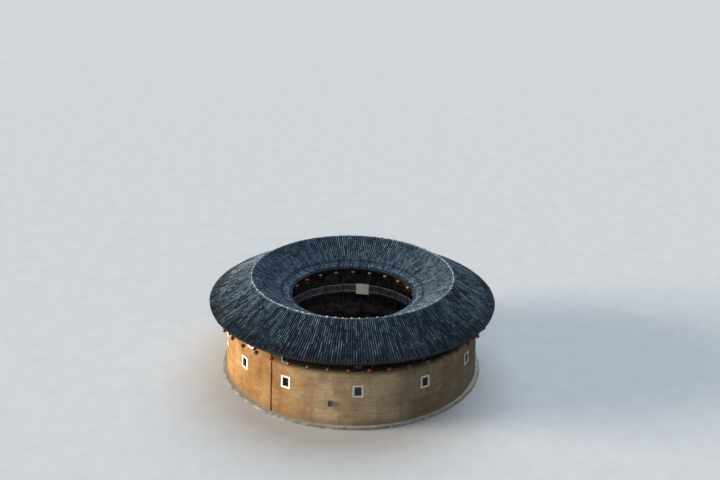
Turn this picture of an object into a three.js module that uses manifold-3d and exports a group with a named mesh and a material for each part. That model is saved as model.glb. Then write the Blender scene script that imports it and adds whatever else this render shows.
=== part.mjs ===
// A three-storey ring-shaped earth house: a battered rammed-earth wall round a ring of timber storeys, with galleries
// facing an open courtyard and a double-pitched ring roof over both. Millimetres, +Z up, the ring's axis on Z, the
// ground at z = 0. Azimuths are in degrees: 0 faces -Y, 90 faces +X, and the gate is at 180, on the +Y side.
import * as THREE from "three";
import { mergeVertices } from "three/addons/utils/BufferGeometryUtils.js";
import Module from "manifold-3d";

const wasm = await Module();
wasm.setup();
const rad = THREE.MathUtils.degToRad;

// Ring layout
const BAYS = 22; // rooms round the ring on every storey
const BAY = 360 / BAYS;
const FRAME_AZIMUTH = BAY / 2; // the first radial timber frame; the others follow at every bay
const FACETS = 2 * BAYS; // flats round a circular piece, with corners at the frames and between them
const WALL_JOINTS = [38, 98, 158, 218, 278, 331.5]; // where one rammed length of the earth wall meets the next
const ROOF_LENGTHS = 4;
const ROOF_JOINT_AZIMUTH = 38; // where the first length of the roof starts
const FRAME_LENGTH = 2; // bays in one length of the timber frame
const POST_SIDE = 0.9; // degrees by which a length of the timber frame starts before its first post
const GAP = 0.3; // clearance between pieces that bear on each other

// Radii, from the courtyard outwards
const INNER_EAVE_R = 7650;
const INNER_LANTERN_R = 7900;
const KERB_R = 8050; // edge of the raised veranda
const GALLERY_R = 8600; // gallery posts
const ROOM_FRONT_R = 10000; // timber fronts between gallery and rooms
const RIDGE_R = 12500;
const WALL_INNER_R = 14700;
const WALL_TOP_R = 15500;
const PURLIN_R = 16900; // eave purlin and the lanterns under it
const WALL_FOOT_R = 15850;
const FOOTING_R = 16300;
const OUTER_EAVE_R = 17650;
const ROOM_EDGE_R = 14550; // inner edge of the footing, where the veranda's paving ends

// Levels
const VERANDA_Z = 200;
const FOOTING_Z = 300;
const SECOND_FLOOR_Z = 3200;
const THIRD_FLOOR_Z = 5900;
const TIE_Z = 8750; // top of the tie beams over the third storey
const RIDGE_Z = 12200; // roof surface at the ridge
const INNER_EAVE_Z = 9550;
const OUTER_EAVE_Z = 9300;

// Roof shell
const ROOF_THICK = 150;
const ROOF_SAG = 0.18; // hollowness of the slopes, as a share of the drop
const ROOF_STEPS = 3;
const RIDGE_HALF = 150;
const RIDGE_RISE = 180;

// Timber sections
const POST = 180; // across the flats of a gallery post
const EDGE_BEAM = 200;
const BOARD = 50;
const JOIST_W = 140;
const JOIST_D = 160;
const JOIST_END = 2; // by which the joists stop short of the edges of the boards on them
const FLOOR_D = BOARD + JOIST_D;
const RAIL_H = 1000; // top of the gallery rail above its floor
const RAIL = 75;
const SLAT = 36; // thickness of the boards below the rail
const EAVE_PLATE = 160;
const ROOM_FRONT = 120; // thickness of the framed and boarded fronts
const HALL_HEAD = 180;
const TIE_W = 150;
const TIE_D = 200;
const KING_POST = 140;
const RIDGE_BEAM = 200;
const BASE = 380; // stone base under a gallery post
const BASE_H = 220;

// Openings in the earth wall
const SECOND_WINDOWS = [3, 33, 62, 92, 121, 151, 180, 207, 233, 258, 283, 306.5, 331.5];
const THIRD_WINDOWS = [3, 33, 62, 92, 121, 151, 180, 207, 233, 258, 283, 311, 331.5];
const WINDOW_W = 700;
const WINDOW_FLARE = 1.3; // a window widens towards the room
const SECOND_WINDOW_Z = 4200;
const SECOND_WINDOW_H = 1000;
const THIRD_WINDOW_Z = 7350;
const THIRD_WINDOW_H = 900;
const GATE_AZIMUTH = 180;
const GATE_W = 1500;
const GATE_H = 2400;
const GATE_JAMB = 320;
const GATE_SILL = 120;
const GATE_DEPTH = 520;
const GATE_FACE = 15920; // outer face of the stone frame, from the ring's axis
const LEAF_T = 60;

// Fronts of the rooms
const ROOM_WINDOW_W = 800;
const ROOM_WINDOW_H = 800;
const ROOM_WINDOW_SILL = 1100;
const ROOM_WINDOW_X = 620; // off the middle of the bay, beside the door

// Brackets, lanterns, pipe, box and mat
const BRACKET_Z = 8450; // top of the bracket beams
const BRACKET_W = 150;
const BRACKET_D = 200;
const STRUT = 110;
const PURLIN = 150;
const OUTER_LANTERNS = 46;
const OUTER_LANTERN_AZIMUTH = -0.8;
const INNER_LANTERNS = BAYS;
const INNER_LANTERN_AZIMUTH = 0;
const LANTERN_R = 260;
const LANTERN_H = 440;
const CABLE = 24;
const HANGER = 30; // width of the hook that holds an inner lantern clear of the eave
const INNER_LANTERN_DROP = 300;
const PIPE_AZIMUTH = -36;
const PIPE_R = 55;
const PIPE_TOP_Z = 8600;
const BOX_AZIMUTH = -8.5;
const BOX_Z = 2730;
const BOX_W = 480;
const BOX_H = 680;
const BOX_D = 200;
const MAT_AZIMUTH = 171;
const MAT_W = 1700;
const MAT_TOP_Z = THIRD_FLOOR_Z + 1200;
const MAT_FOOT_Z = 5600;
const MAT_T = 25;
const MAT_OFF = 260; // from the middle of the posts

const MATERIALS = {
  earth: new THREE.MeshStandardMaterial({ color: 0xb9804a, roughness: 0.95, metalness: 0 }),
  stone: new THREE.MeshStandardMaterial({ color: 0x9b958a, roughness: 0.9, metalness: 0 }),
  tile: new THREE.MeshStandardMaterial({ color: 0x2f343a, roughness: 0.8, metalness: 0 }),
  ridge: new THREE.MeshStandardMaterial({ color: 0x8d9196, roughness: 0.85, metalness: 0 }),
  timber: new THREE.MeshStandardMaterial({ color: 0x4a3527, roughness: 0.8, metalness: 0 }),
  lantern: new THREE.MeshStandardMaterial({ color: 0xb3201c, roughness: 0.6, metalness: 0 }),
  pipe: new THREE.MeshStandardMaterial({ color: 0x4b2a22, roughness: 0.5, metalness: 0 }),
  mat: new THREE.MeshStandardMaterial({ color: 0xb9a283, roughness: 0.9, metalness: 0 }),
};

// The roof falls from the ridge to either eave and flattens on the way, straight between the points of its profile.
function slopePoints(eaveR, eaveZ) {
  return Array.from({ length: ROOF_STEPS + 1 }, (_, k) => {
    const t = k / ROOF_STEPS;
    return [RIDGE_R + (eaveR - RIDGE_R) * t, RIDGE_Z - (RIDGE_Z - eaveZ) * (t + ROOF_SAG * t * (1 - t))];
  });
}

const SLOPES = {
  outer: slopePoints(OUTER_EAVE_R, OUTER_EAVE_Z),
  inner: slopePoints(INNER_EAVE_R, INNER_EAVE_Z),
};

// Height of the roof surface at a radius
function roofSurface(r) {
  const points = r > RIDGE_R ? SLOPES.outer : SLOPES.inner;
  const t = ((r - RIDGE_R) / (points[ROOF_STEPS][0] - RIDGE_R)) * ROOF_STEPS;
  const k = Math.min(Math.floor(t), ROOF_STEPS - 1);
  return points[k][1] + (points[k + 1][1] - points[k][1]) * (t - k);
}

const roofUnderside = (r) => roofSurface(r) - ROOF_THICK - GAP;
const WALL_TOP_Z = roofUnderside(WALL_TOP_R);

// Top of a straight beam that carries the inner slope with its edge, in the middle of every bay
const underInnerSlope = (r, width) => roofUnderside(r * Math.cos(rad(BAY / 2)) - width / 2);

// Outer radius of the battered wall at a height, at the corners of its flats
function wallRadius(z) {
  return WALL_FOOT_R - ((WALL_FOOT_R - WALL_TOP_R) * (z - FOOTING_Z)) / (WALL_TOP_Z - FOOTING_Z);
}

// How far a flat lies inside the circle of its corners at an azimuth, as a factor
function flatness(azimuth) {
  const half = 180 / FACETS;
  const off = ((azimuth % (2 * half)) + 2 * half) % (2 * half) - half;
  return Math.cos(rad(half)) / Math.cos(rad(off));
}

// Where a radial beam of a given width ends against the earth wall's inner face, at a corner of its flats
const againstWall = (width) => WALL_INNER_R - Math.tan(rad(180 / FACETS)) * (width / 2) - GAP;

// A closed three.js geometry as a solid that can be joined and cut
function solid(geometry) {
  const bare = geometry.clone();
  bare.deleteAttribute("normal");
  bare.deleteAttribute("uv");
  const merged = mergeVertices(bare, 1e-3);
  const vertProperties = new Float32Array(merged.attributes.position.array);
  const triVerts = new Uint32Array(merged.index.array);
  return new wasm.Manifold(new wasm.Mesh({ numProp: 3, vertProperties, triVerts }));
}

function join(solids) {
  return solids.reduce((whole, piece) => whole.add(piece));
}

function cut(body, cutters) {
  return cutters.reduce((left, cutter) => left.subtract(cutter), body);
}

// A ring of constant section: its profile, points of [radius, height], runs anticlockwise seen with the radius to the
// right, and the radii are those of its corners.
function ring(profile, facets = FACETS, azimuth = FRAME_AZIMUTH) {
  const points = [...profile, profile[0]].map(([r, z]) => new THREE.Vector2(r, z));
  return solid(new THREE.LatheGeometry(points, facets, rad(azimuth)).rotateX(Math.PI / 2));
}

const around = (middle, size) => [middle - size / 2, middle + size / 2];

const rectangle = ([r0, r1], [z0, z1]) => [
  [r0, z0],
  [r1, z0],
  [r1, z1],
  [r0, z1],
];

// A ring that runs straight from frame to frame, its profile given from the middle line through the posts outwards
function bayRing(r, profile) {
  const slant = 1 / Math.cos(rad(BAY / 2));
  return ring(profile.map(([x, z]) => [r + x * slant, z]), BAYS);
}

const bayBeam = (r, width, height) => bayRing(r, rectangle(around(0, width), height));

// Everything between two azimuths, to take one length of a ring
function wedge(from, to) {
  const reach = (1.2 * OUTER_EAVE_R) / Math.cos(rad((to - from) / 2));
  const shape = new THREE.Shape();
  shape.moveTo(0, 0);
  for (const a of [from, to]) shape.lineTo(reach * Math.sin(rad(a)), -reach * Math.cos(rad(a)));
  return solid(new THREE.ExtrudeGeometry(shape, { depth: 1.2 * RIDGE_Z, bevelEnabled: false }));
}

// The azimuths of a length of a ring between two joints, leaving the joints' clearance
function lengthSpan(from, to) {
  const clearance = THREE.MathUtils.radToDeg(GAP / OUTER_EAVE_R);
  return [from + clearance, to - clearance];
}

// A box given by its ranges: x along the wall, r outwards from the axis, z up, all turned to an azimuth
function block(azimuth, [x0, x1], [r0, r1], [z0, z1]) {
  const made = new THREE.BoxGeometry(x1 - x0, r1 - r0, z1 - z0);
  made.translate((x0 + x1) / 2, -(r0 + r1) / 2, (z0 + z1) / 2);
  return solid(made.rotateZ(rad(azimuth)));
}

// An upright post of several sides, given across its flats, with a flat towards the axis
function post(azimuth, r, size, [z0, z1], sides) {
  const corner = size / 2 / Math.cos(Math.PI / sides);
  const made = new THREE.CylinderGeometry(corner, corner, z1 - z0, sides).rotateX(Math.PI / 2);
  made.rotateZ(Math.PI / sides).translate(0, -r, (z0 + z1) / 2);
  return solid(made.rotateZ(rad(azimuth)));
}

const group = new THREE.Group();

function add(name, body, material) {
  const { vertProperties, triVerts } = body.getMesh();
  const geometry = new THREE.BufferGeometry();
  geometry.setAttribute("position", new THREE.BufferAttribute(vertProperties, 3));
  geometry.setIndex(new THREE.BufferAttribute(triVerts, 1));
  geometry.computeVertexNormals();
  const mesh = new THREE.Mesh(geometry, material);
  mesh.name = name;
  group.add(mesh);
}

const FRAMES = Array.from({ length: BAYS }, (_, i) => FRAME_AZIMUTH + i * BAY);
const GATE_HALF = GATE_W / 2 + GATE_JAMB;
const GATE_TOP_Z = VERANDA_Z + GATE_SILL + GATE_H + GATE_JAMB;
const THROUGH_WALL = [ROOM_EDGE_R - 200, FOOTING_R + 200];

// Stone footing, lower where the gate passes over it
function footing() {
  const course = ring([
    [ROOM_EDGE_R, 0],
    [FOOTING_R + 60, 0],
    [FOOTING_R, FOOTING_Z],
    [ROOM_EDGE_R, FOOTING_Z],
  ]);
  const notch = block(GATE_AZIMUTH, [-GATE_HALF, GATE_HALF], THROUGH_WALL, [VERANDA_Z, FOOTING_Z + 1]);
  add("stone_footing", cut(course, [notch]), MATERIALS.stone);
}

// An opening through the earth wall, narrow outside and flared towards the room
function wallOpening(azimuth, width, z, height) {
  const [inside, outside] = THROUGH_WALL;
  const flared = new THREE.CylinderGeometry(Math.SQRT1_2, Math.SQRT1_2 * WINDOW_FLARE, 1, 4, 1, false, Math.PI / 4);
  flared.rotateX(Math.PI).scale(width, outside - inside, height);
  return solid(flared.translate(0, -(outside + inside) / 2, z + height / 2).rotateZ(rad(azimuth)));
}

// The whole wall as rammed, or a little larger all round to trim what stands against it
function earthRing(allowance) {
  return ring([
    [WALL_INNER_R - allowance, FOOTING_Z + GAP - allowance],
    [WALL_FOOT_R + allowance, FOOTING_Z + GAP - allowance],
    [WALL_TOP_R + allowance, WALL_TOP_Z],
    [WALL_INNER_R - allowance, WALL_TOP_Z],
  ]);
}

// The earth wall in lengths, the one with the gate divided beside and over it
function earthWall() {
  const windows = [
    ...SECOND_WINDOWS.map((azimuth) => wallOpening(azimuth, WINDOW_W, SECOND_WINDOW_Z, SECOND_WINDOW_H)),
    ...THIRD_WINDOWS.map((azimuth) => wallOpening(azimuth, WINDOW_W, THIRD_WINDOW_Z, THIRD_WINDOW_H)),
  ];
  const wall = cut(earthRing(0), windows);
  const above = [GATE_TOP_Z + GAP, WALL_TOP_Z + 1];
  const overGate = block(GATE_AZIMUTH, [-GATE_HALF, GATE_HALF], THROUGH_WALL, above);
  const cleared = block(GATE_AZIMUTH, [-GATE_HALF - GAP, GATE_HALF + GAP], THROUGH_WALL, [0, WALL_TOP_Z + 1]);
  add("earth_wall_over_gate", wall.intersect(overGate), MATERIALS.earth);
  for (const [i, joint] of WALL_JOINTS.entries()) {
    const [from, to] = lengthSpan(joint, WALL_JOINTS[i + 1] ?? WALL_JOINTS[0] + 360);
    const length = wall.intersect(wedge(from, to));
    if (from < GATE_AZIMUTH && GATE_AZIMUTH < to) {
      for (const [side, [start, end]] of [
        ["left", [from, GATE_AZIMUTH]],
        ["right", [GATE_AZIMUTH, to]],
      ]) {
        add(`earth_wall_gate_${side}`, cut(length, [cleared]).intersect(wedge(start, end)), MATERIALS.earth);
      }
    } else {
      add(`earth_wall_${i + 1}`, length, MATERIALS.earth);
    }
  }
}

// Stone gate frame, with its two plank leaves standing open in the passage
function gate() {
  const foot = VERANDA_Z + GAP;
  const outer = block(GATE_AZIMUTH, [GAP - GATE_HALF, GATE_HALF - GAP], [GATE_FACE - GATE_DEPTH, GATE_FACE], [
    foot,
    GATE_TOP_Z,
  ]);
  const doorway = block(GATE_AZIMUTH, around(0, GATE_W), THROUGH_WALL, around(foot + GATE_SILL + GATE_H / 2, GATE_H));
  add("gate_stone_frame", cut(outer, [doorway]), MATERIALS.stone);
  const behind = GATE_FACE - GATE_DEPTH - GAP;
  const swing = [behind - GATE_W / 2, behind];
  const height = [foot, foot + GATE_SILL + GATE_H];
  add("gate_leaf_left", block(GATE_AZIMUTH, [GATE_W / 2, GATE_W / 2 + LEAF_T], swing, height), MATERIALS.timber);
  add("gate_leaf_right", block(GATE_AZIMUTH, [-GATE_W / 2 - LEAF_T, -GATE_W / 2], swing, height), MATERIALS.timber);
}

// Raised stone veranda and ground floor, with a base under each gallery post
function veranda() {
  const paving = ring(rectangle([KERB_R, ROOM_EDGE_R - GAP], [0, VERANDA_Z]));
  const bases = FRAMES.map((azimuth) => post(azimuth, GALLERY_R, BASE, [VERANDA_Z / 2, VERANDA_Z + BASE_H], 4));
  add("stone_veranda", join([paving, ...bases]), MATERIALS.stone);
}

// A boarded floor on radial joists, from the gallery's edge beam to the earth wall
function upperFloor(name, z) {
  const straight = Math.cos(rad(BAY / 2));
  const inner = GALLERY_R + (EDGE_BEAM / 2 + GAP) / straight;
  const boards = cut(ring(rectangle([KERB_R, WALL_INNER_R - GAP], [z - BOARD, z])), [
    ring(rectangle([KERB_R / 2, inner], [z - 2 * BOARD, z + BOARD]), BAYS),
  ]);
  const reach = [inner + JOIST_END, againstWall(JOIST_W) - JOIST_END];
  const joists = FRAMES.map((azimuth) => block(azimuth, around(0, JOIST_W), reach, [z - FLOOR_D, z - BOARD / 2]));
  add(name, join([boards, ...joists]), MATERIALS.timber);
}

// Tie beams over the third storey, a post on each, and the beam that carries the ridge
function roofTimbers() {
  const beamTop = underInnerSlope(RIDGE_R, RIDGE_BEAM);
  const reach = [GALLERY_R, againstWall(TIE_W)];
  const ties = FRAMES.map((azimuth) => block(azimuth, around(0, TIE_W), reach, [TIE_Z - TIE_D, TIE_Z]));
  const posts = FRAMES.map((azimuth) =>
    block(azimuth, around(0, KING_POST), around(RIDGE_R, KING_POST), [TIE_Z - TIE_D / 2, beamTop - RIDGE_BEAM / 2]),
  );
  return [bayBeam(RIDGE_R, RIDGE_BEAM, [beamTop - RIDGE_BEAM, beamTop]), ...ties, ...posts];
}

// The timber skeleton in lengths of two bays: posts, edge beams, rails with boards below, and the roof's timbers
function timberFrame() {
  const plateTop = underInnerSlope(GALLERY_R, EAVE_PLATE);
  const storeys = [SECOND_FLOOR_Z, THIRD_FLOOR_Z].map((floor) => {
    const rail = floor + RAIL_H;
    const right = [
      [EDGE_BEAM / 2, floor - FLOOR_D],
      [EDGE_BEAM / 2, floor],
      [SLAT / 2, floor],
      [SLAT / 2, rail - RAIL],
      [RAIL / 2, rail - RAIL],
      [RAIL / 2, rail],
    ];
    const left = [...right].reverse().map(([x, z]) => [-x, z]);
    return bayRing(GALLERY_R, [...right, ...left]);
  });
  const plate = bayBeam(GALLERY_R, EAVE_PLATE, [plateTop - EAVE_PLATE, plateTop]);
  const posts = FRAMES.map((azimuth) =>
    post(azimuth, GALLERY_R, POST, [VERANDA_Z + BASE_H + GAP, plateTop - EAVE_PLATE / 2], 6),
  );
  const whole = join([...storeys, plate, ...posts, ...roofTimbers()]);
  for (let i = 0; i < BAYS / FRAME_LENGTH; i++) {
    const joint = FRAME_AZIMUTH - POST_SIDE + i * FRAME_LENGTH * BAY;
    const span = lengthSpan(joint, joint + FRAME_LENGTH * BAY);
    add(`timber_frame_${i + 1}`, whole.intersect(wedge(...span)), MATERIALS.timber);
  }
}

// The timber-framed front of one storey's rooms, with a window beside the closed door of each
function roomFront(name, [z0, z1], openings) {
  const line = ROOM_FRONT_R * Math.cos(rad(BAY / 2));
  const sill = z0 + ROOM_WINDOW_SILL;
  const windows = FRAMES.map((azimuth) =>
    block(azimuth + BAY / 2, around(ROOM_WINDOW_X, ROOM_WINDOW_W), around(line, 3 * ROOM_FRONT), [
      sill,
      sill + ROOM_WINDOW_H,
    ]),
  );
  const wall = bayBeam(ROOM_FRONT_R, ROOM_FRONT, [z0 + GAP, z1 - GAP]);
  add(name, cut(wall, [...windows, ...openings]), MATERIALS.timber);
}

// The entrance hall opens to the courtyard between two frames, under the head of the ground storey's front
function hallOpening(z1) {
  const width = 2 * ROOM_FRONT_R * Math.sin(rad(BAY / 2)) - 2 * ROOM_FRONT;
  return block(GATE_AZIMUTH, around(0, width), around(ROOM_FRONT_R, 1000), [0, z1 - HALL_HEAD]);
}

// Both slopes of the roof, in lengths
function roof() {
  for (const [side, points] of Object.entries(SLOPES)) {
    const outwards = side === "outer";
    const top = points.map(([r, z], k) => [k === 0 ? r + (outwards ? GAP : -GAP) : r, z]);
    const under = [...top].reverse().map(([r, z]) => [r, z - ROOF_THICK]);
    const profile = [...top, ...under];
    const slope = ring(outwards ? profile.reverse() : profile);
    for (let i = 0; i < ROOF_LENGTHS; i++) {
      const joint = ROOF_JOINT_AZIMUTH + (i * 360) / ROOF_LENGTHS;
      const span = lengthSpan(joint, joint + 360 / ROOF_LENGTHS);
      add(`${side}_roof_${i + 1}`, slope.intersect(wedge(...span)), MATERIALS.tile);
    }
  }
}

// Mortared ridge over the meeting of the slopes
function ridge() {
  const foot = (r) => [r, roofSurface(r) + 1];
  const crown = 0.6 * RIDGE_HALF;
  add(
    "ridge_cap",
    ring([
      foot(RIDGE_R),
      foot(RIDGE_R + RIDGE_HALF),
      [RIDGE_R + crown, RIDGE_Z + RIDGE_RISE],
      [RIDGE_R - crown, RIDGE_Z + RIDGE_RISE],
      foot(RIDGE_R - RIDGE_HALF),
    ]),
    MATERIALS.ridge,
  );
}

// Brackets out of the wall, and the purlin that they carry under the outer eave
function eaveFrame() {
  const top = roofUnderside(PURLIN_R + PURLIN / 2);
  const purlin = ring(rectangle(around(PURLIN_R, PURLIN), [top - PURLIN, top]));
  const reach = [WALL_TOP_R - BRACKET_D, PURLIN_R + BRACKET_D];
  const brackets = FRAMES.map((azimuth) =>
    block(azimuth, around(0, BRACKET_W), reach, [BRACKET_Z - BRACKET_D, BRACKET_Z]),
  );
  const struts = FRAMES.map((azimuth) =>
    block(azimuth, around(0, STRUT), around(PURLIN_R, STRUT), [BRACKET_Z - 1, top - PURLIN / 2]),
  );
  add("outer_eave_frame", cut(join([purlin, ...brackets, ...struts]), [earthRing(GAP)]), MATERIALS.timber);
}

// Lanterns strung on the cable that feeds them, on hooks where they hang lower than it
function lanternRing(name, count, azimuth, r, cableTop, drop) {
  const cable = ring(rectangle(around(r, CABLE), [cableTop - CABLE, cableTop]), count, azimuth);
  const crown = cableTop - CABLE / 2 - drop;
  const lanterns = Array.from({ length: count }, (_, i) => {
    const turned = azimuth + (i * 360) / count;
    const body = new THREE.SphereGeometry(LANTERN_R, 6, 3).rotateX(Math.PI / 2);
    body.scale(1, 1, LANTERN_H / 2 / LANTERN_R).translate(0, -r, crown - LANTERN_H / 2);
    const hung = solid(body.rotateZ(rad(turned)));
    const hook = [crown - HANGER, cableTop - CABLE / 2];
    return drop > 0 ? hung.add(block(turned, around(0, HANGER), around(r, HANGER / 2), hook)) : hung;
  });
  add(name, join([cable, ...lanterns]), MATERIALS.lantern);
}

function lanterns() {
  const brackets = BRACKET_Z - BRACKET_D - GAP;
  const slope = underInnerSlope(INNER_LANTERN_R, CABLE) - GAP;
  lanternRing("outer_lanterns", OUTER_LANTERNS, OUTER_LANTERN_AZIMUTH, PURLIN_R, brackets, 0);
  lanternRing("inner_lanterns", INNER_LANTERNS, INNER_LANTERN_AZIMUTH, INNER_LANTERN_R, slope, INNER_LANTERN_DROP);
}

// The pipe that runs up the wall beside a window, leaning with it
function wallPipe() {
  const foot = FOOTING_Z + 2 * GAP;
  const length = PIPE_TOP_Z - foot;
  const lean = Math.atan2(wallRadius(foot) - wallRadius(PIPE_TOP_Z), length);
  const face = (flatness(PIPE_AZIMUTH) * (wallRadius(foot) + wallRadius(PIPE_TOP_Z))) / 2;
  const middle = face + PIPE_R + 3 * GAP;
  const made = new THREE.CylinderGeometry(PIPE_R, PIPE_R, length, 8).rotateX(Math.PI / 2).rotateX(-lean);
  made.translate(0, -middle, (foot + PIPE_TOP_Z) / 2).rotateZ(rad(PIPE_AZIMUTH));
  add("wall_pipe", solid(made), MATERIALS.pipe);
}

// The dark box on the front of the wall
function wallBox() {
  const box = block(BOX_AZIMUTH, around(0, BOX_W), [WALL_TOP_R, wallRadius(BOX_Z) + BOX_D], [BOX_Z, BOX_Z + BOX_H]);
  add("wall_box", cut(box, [earthRing(GAP)]), MATERIALS.pipe);
}

// The pale mat hung over the third storey's rail on the courtyard side, notched round a gallery post
function railMat() {
  const face = GALLERY_R - MAT_OFF;
  const railTop = THIRD_FLOOR_Z + RAIL_H + GAP;
  const sheet = block(MAT_AZIMUTH, around(0, MAT_W), [face - MAT_T, face], [MAT_FOOT_Z, MAT_TOP_Z]);
  const fold = block(MAT_AZIMUTH, around(0, MAT_W), [face - MAT_T, GALLERY_R], [railTop, railTop + MAT_T]);
  const nearest = FRAMES.reduce((a, b) => (Math.abs(a - MAT_AZIMUTH) < Math.abs(b - MAT_AZIMUTH) ? a : b));
  const clearance = post(nearest, GALLERY_R, POST + 2 * GAP, [MAT_FOOT_Z - 1, MAT_TOP_Z + 1], 6);
  add("rail_mat", cut(join([sheet, fold]), [clearance]), MATERIALS.mat);
}

footing();
earthWall();
gate();
veranda();
upperFloor("second_floor", SECOND_FLOOR_Z);
upperFloor("third_floor", THIRD_FLOOR_Z);
timberFrame();
roomFront("ground_room_front", [VERANDA_Z, SECOND_FLOOR_Z - FLOOR_D], [hallOpening(SECOND_FLOOR_Z - FLOOR_D)]);
roomFront("second_room_front", [SECOND_FLOOR_Z, THIRD_FLOOR_Z - FLOOR_D], []);
roomFront("third_room_front", [THIRD_FLOOR_Z, TIE_Z - TIE_D], []);
roof();
ridge();
eaveFrame();
lanterns();
wallPipe();
wallBox();
railMat();

export default group;
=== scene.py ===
# %% [markdown]
# # A ring-shaped earth house
#
# One thick wall of rammed earth holds three storeys of timber rooms round an open yard. The rooms face
# galleries, and a ring roof of grey clay tiles falls to both sides of one ridge. The solids of the house
# are loaded first. They say where everything is, and every piece made here is built on them, in metres,
# with the ground at zero, the ring's axis on Z and the side towards the viewer at azimuth zero. All
# chance comes from one seeded source, so every run gives the same house.

# %% Load the solids
import math

import bpy
import numpy as np
from mathutils import Matrix


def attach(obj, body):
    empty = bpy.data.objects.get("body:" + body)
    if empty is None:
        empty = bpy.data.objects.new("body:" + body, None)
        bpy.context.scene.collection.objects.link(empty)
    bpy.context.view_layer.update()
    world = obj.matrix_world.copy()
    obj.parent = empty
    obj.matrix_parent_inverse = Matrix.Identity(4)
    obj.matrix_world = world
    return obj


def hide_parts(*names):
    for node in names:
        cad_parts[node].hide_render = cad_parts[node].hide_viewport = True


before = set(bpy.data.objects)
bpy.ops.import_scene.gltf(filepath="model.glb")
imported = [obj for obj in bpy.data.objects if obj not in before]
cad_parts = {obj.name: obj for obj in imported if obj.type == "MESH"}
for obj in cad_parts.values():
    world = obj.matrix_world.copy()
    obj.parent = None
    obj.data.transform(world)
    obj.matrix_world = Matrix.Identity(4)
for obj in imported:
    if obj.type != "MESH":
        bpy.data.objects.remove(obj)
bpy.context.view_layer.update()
chance = np.random.default_rng(1308)
print("solids loaded:", len(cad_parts))

# %% [markdown]
# ## Sizes
#
# The solids use a few driving sizes, and the lesson repeats those that it needs. The ring has 22 bays,
# with a timber frame between each two. Azimuths start on the -Y side and grow towards +X. The roof's
# slopes are curved, so each is given by a few radii and the heights there, and a function reads the
# heights between them.

# %% Sizes that the pieces share
BAYS = 22
BAY = 2 * math.pi / BAYS
BAY_MIDDLES = np.arange(BAYS) * BAY
FRAMES = BAY_MIDDLES + BAY / 2
GATE_AZIMUTH = math.pi
GALLERY_R = 8.6
ROOM_FRONT_R = 10.0
RIDGE_R = 12.5
WALL_INNER_R = 14.7
WALL_FOOT_R = 15.83
WALL_TOP_R = 15.48
WALL_FOOT_Z = 0.3
WALL_TOP_Z = 10.24
VERANDA_Z = 0.2
FLOORS_Z = (3.2, 5.9)
TIE_Z = 8.75
PLATE_TOP_Z = 9.775
SLOPES = {
    "outer": ((12.5, 14.2167, 15.9333, 17.65), (12.2, 11.1173, 10.1507, 9.3)),
    "inner": ((7.65, 9.2667, 10.8833, 12.5), (9.55, 10.3273, 11.2107, 12.2)),
}


def roof_height(side, radius):
    """Height of the solid roof's upper surface."""
    radii, heights = SLOPES[side]
    return np.interp(radius, radii, heights)


def wall_radius(height):
    """Outer face of the battered earth wall."""
    return np.interp(height, (WALL_FOOT_Z, WALL_TOP_Z), (WALL_FOOT_R, WALL_TOP_R))


BATTER = math.atan((WALL_FOOT_R - WALL_TOP_R) / (WALL_TOP_Z - WALL_FOOT_Z))
print("the wall leans in by", round(math.degrees(BATTER), 2), "degrees")

# %% [markdown]
# ## Tools for modelling
#
# Every piece starts as a primitive, is shaped in edit mode or by a modifier that is applied at once, and
# keeps its place in its own mesh. An operator acts on all that is selected, so each helper first
# deselects everything.


# %% Select, edit and modify
def alone(piece):
    """Makes a piece the only one selected."""
    bpy.ops.object.select_all(action="DESELECT")
    piece.select_set(True)
    bpy.context.view_layer.objects.active = piece
    return piece


def edited(piece, *steps):
    """Runs steps in edit mode with the whole mesh selected before each."""
    alone(piece)
    bpy.ops.object.mode_set(mode="EDIT")
    for step in steps:
        bpy.ops.mesh.select_all(action="SELECT")
        step()
    bpy.ops.object.mode_set(mode="OBJECT")
    return piece


def modified(piece, kind, **settings):
    """Adds a modifier and applies it."""
    alone(piece)
    bpy.ops.object.modifier_add(type=kind)
    modifier = piece.modifiers[-1]
    for key, value in settings.items():
        setattr(modifier, key, value)
    bpy.ops.object.modifier_apply(modifier=modifier.name)
    return piece


def settled(piece):
    """Puts a piece's place, turn and size into its mesh."""
    alone(piece)
    bpy.ops.object.transform_apply(location=True, rotation=True, scale=True)
    return piece


def joined(parts):
    """Makes one object of several."""
    alone(parts[0])
    for part in parts:
        part.select_set(True)
    if len(parts) > 1:
        bpy.ops.object.join()
    return parts[0]


def smoothed(piece, degrees=40):
    """Smooth shading, except over edges sharper than an angle."""
    alone(piece)
    bpy.ops.object.shade_smooth_by_angle(angle=math.radians(degrees))
    return piece


print("pieces can be edited, modified, settled, joined and smoothed")

# %% [markdown]
# Three shapes start nearly every piece. A block has worn edges where light should catch them, a rod can
# taper, and a ring is a closed outline spun round the axis, whose first and last steps are merged so that
# no seam is open.

# %% Blocks, rods and rings
SEAM = 0.0004


def block(x, y, z, bevel=0.0):
    """A block between two values on each axis, with worn edges where a bevel is given."""
    low, high = np.array([x, y, z], float).T
    bpy.ops.object.select_all(action="DESELECT")
    bpy.ops.mesh.primitive_cube_add(size=1, location=(low + high) / 2, scale=high - low)
    made = settled(bpy.context.object)
    if bevel:
        modified(made, "BEVEL", width=bevel, segments=1, limit_method="NONE")
    return made


def rod(radius, length, sides=12, spot=(0, 0, 0), rotation=(0, 0, 0), top=None):
    """A round bar, upright before it is turned, tapered where a top radius is given."""
    bpy.ops.object.select_all(action="DESELECT")
    bpy.ops.mesh.primitive_cone_add(
        vertices=sides,
        radius1=radius,
        radius2=radius if top is None else top,
        depth=length,
        location=spot,
        rotation=rotation,
    )
    return settled(bpy.context.object)


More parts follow.
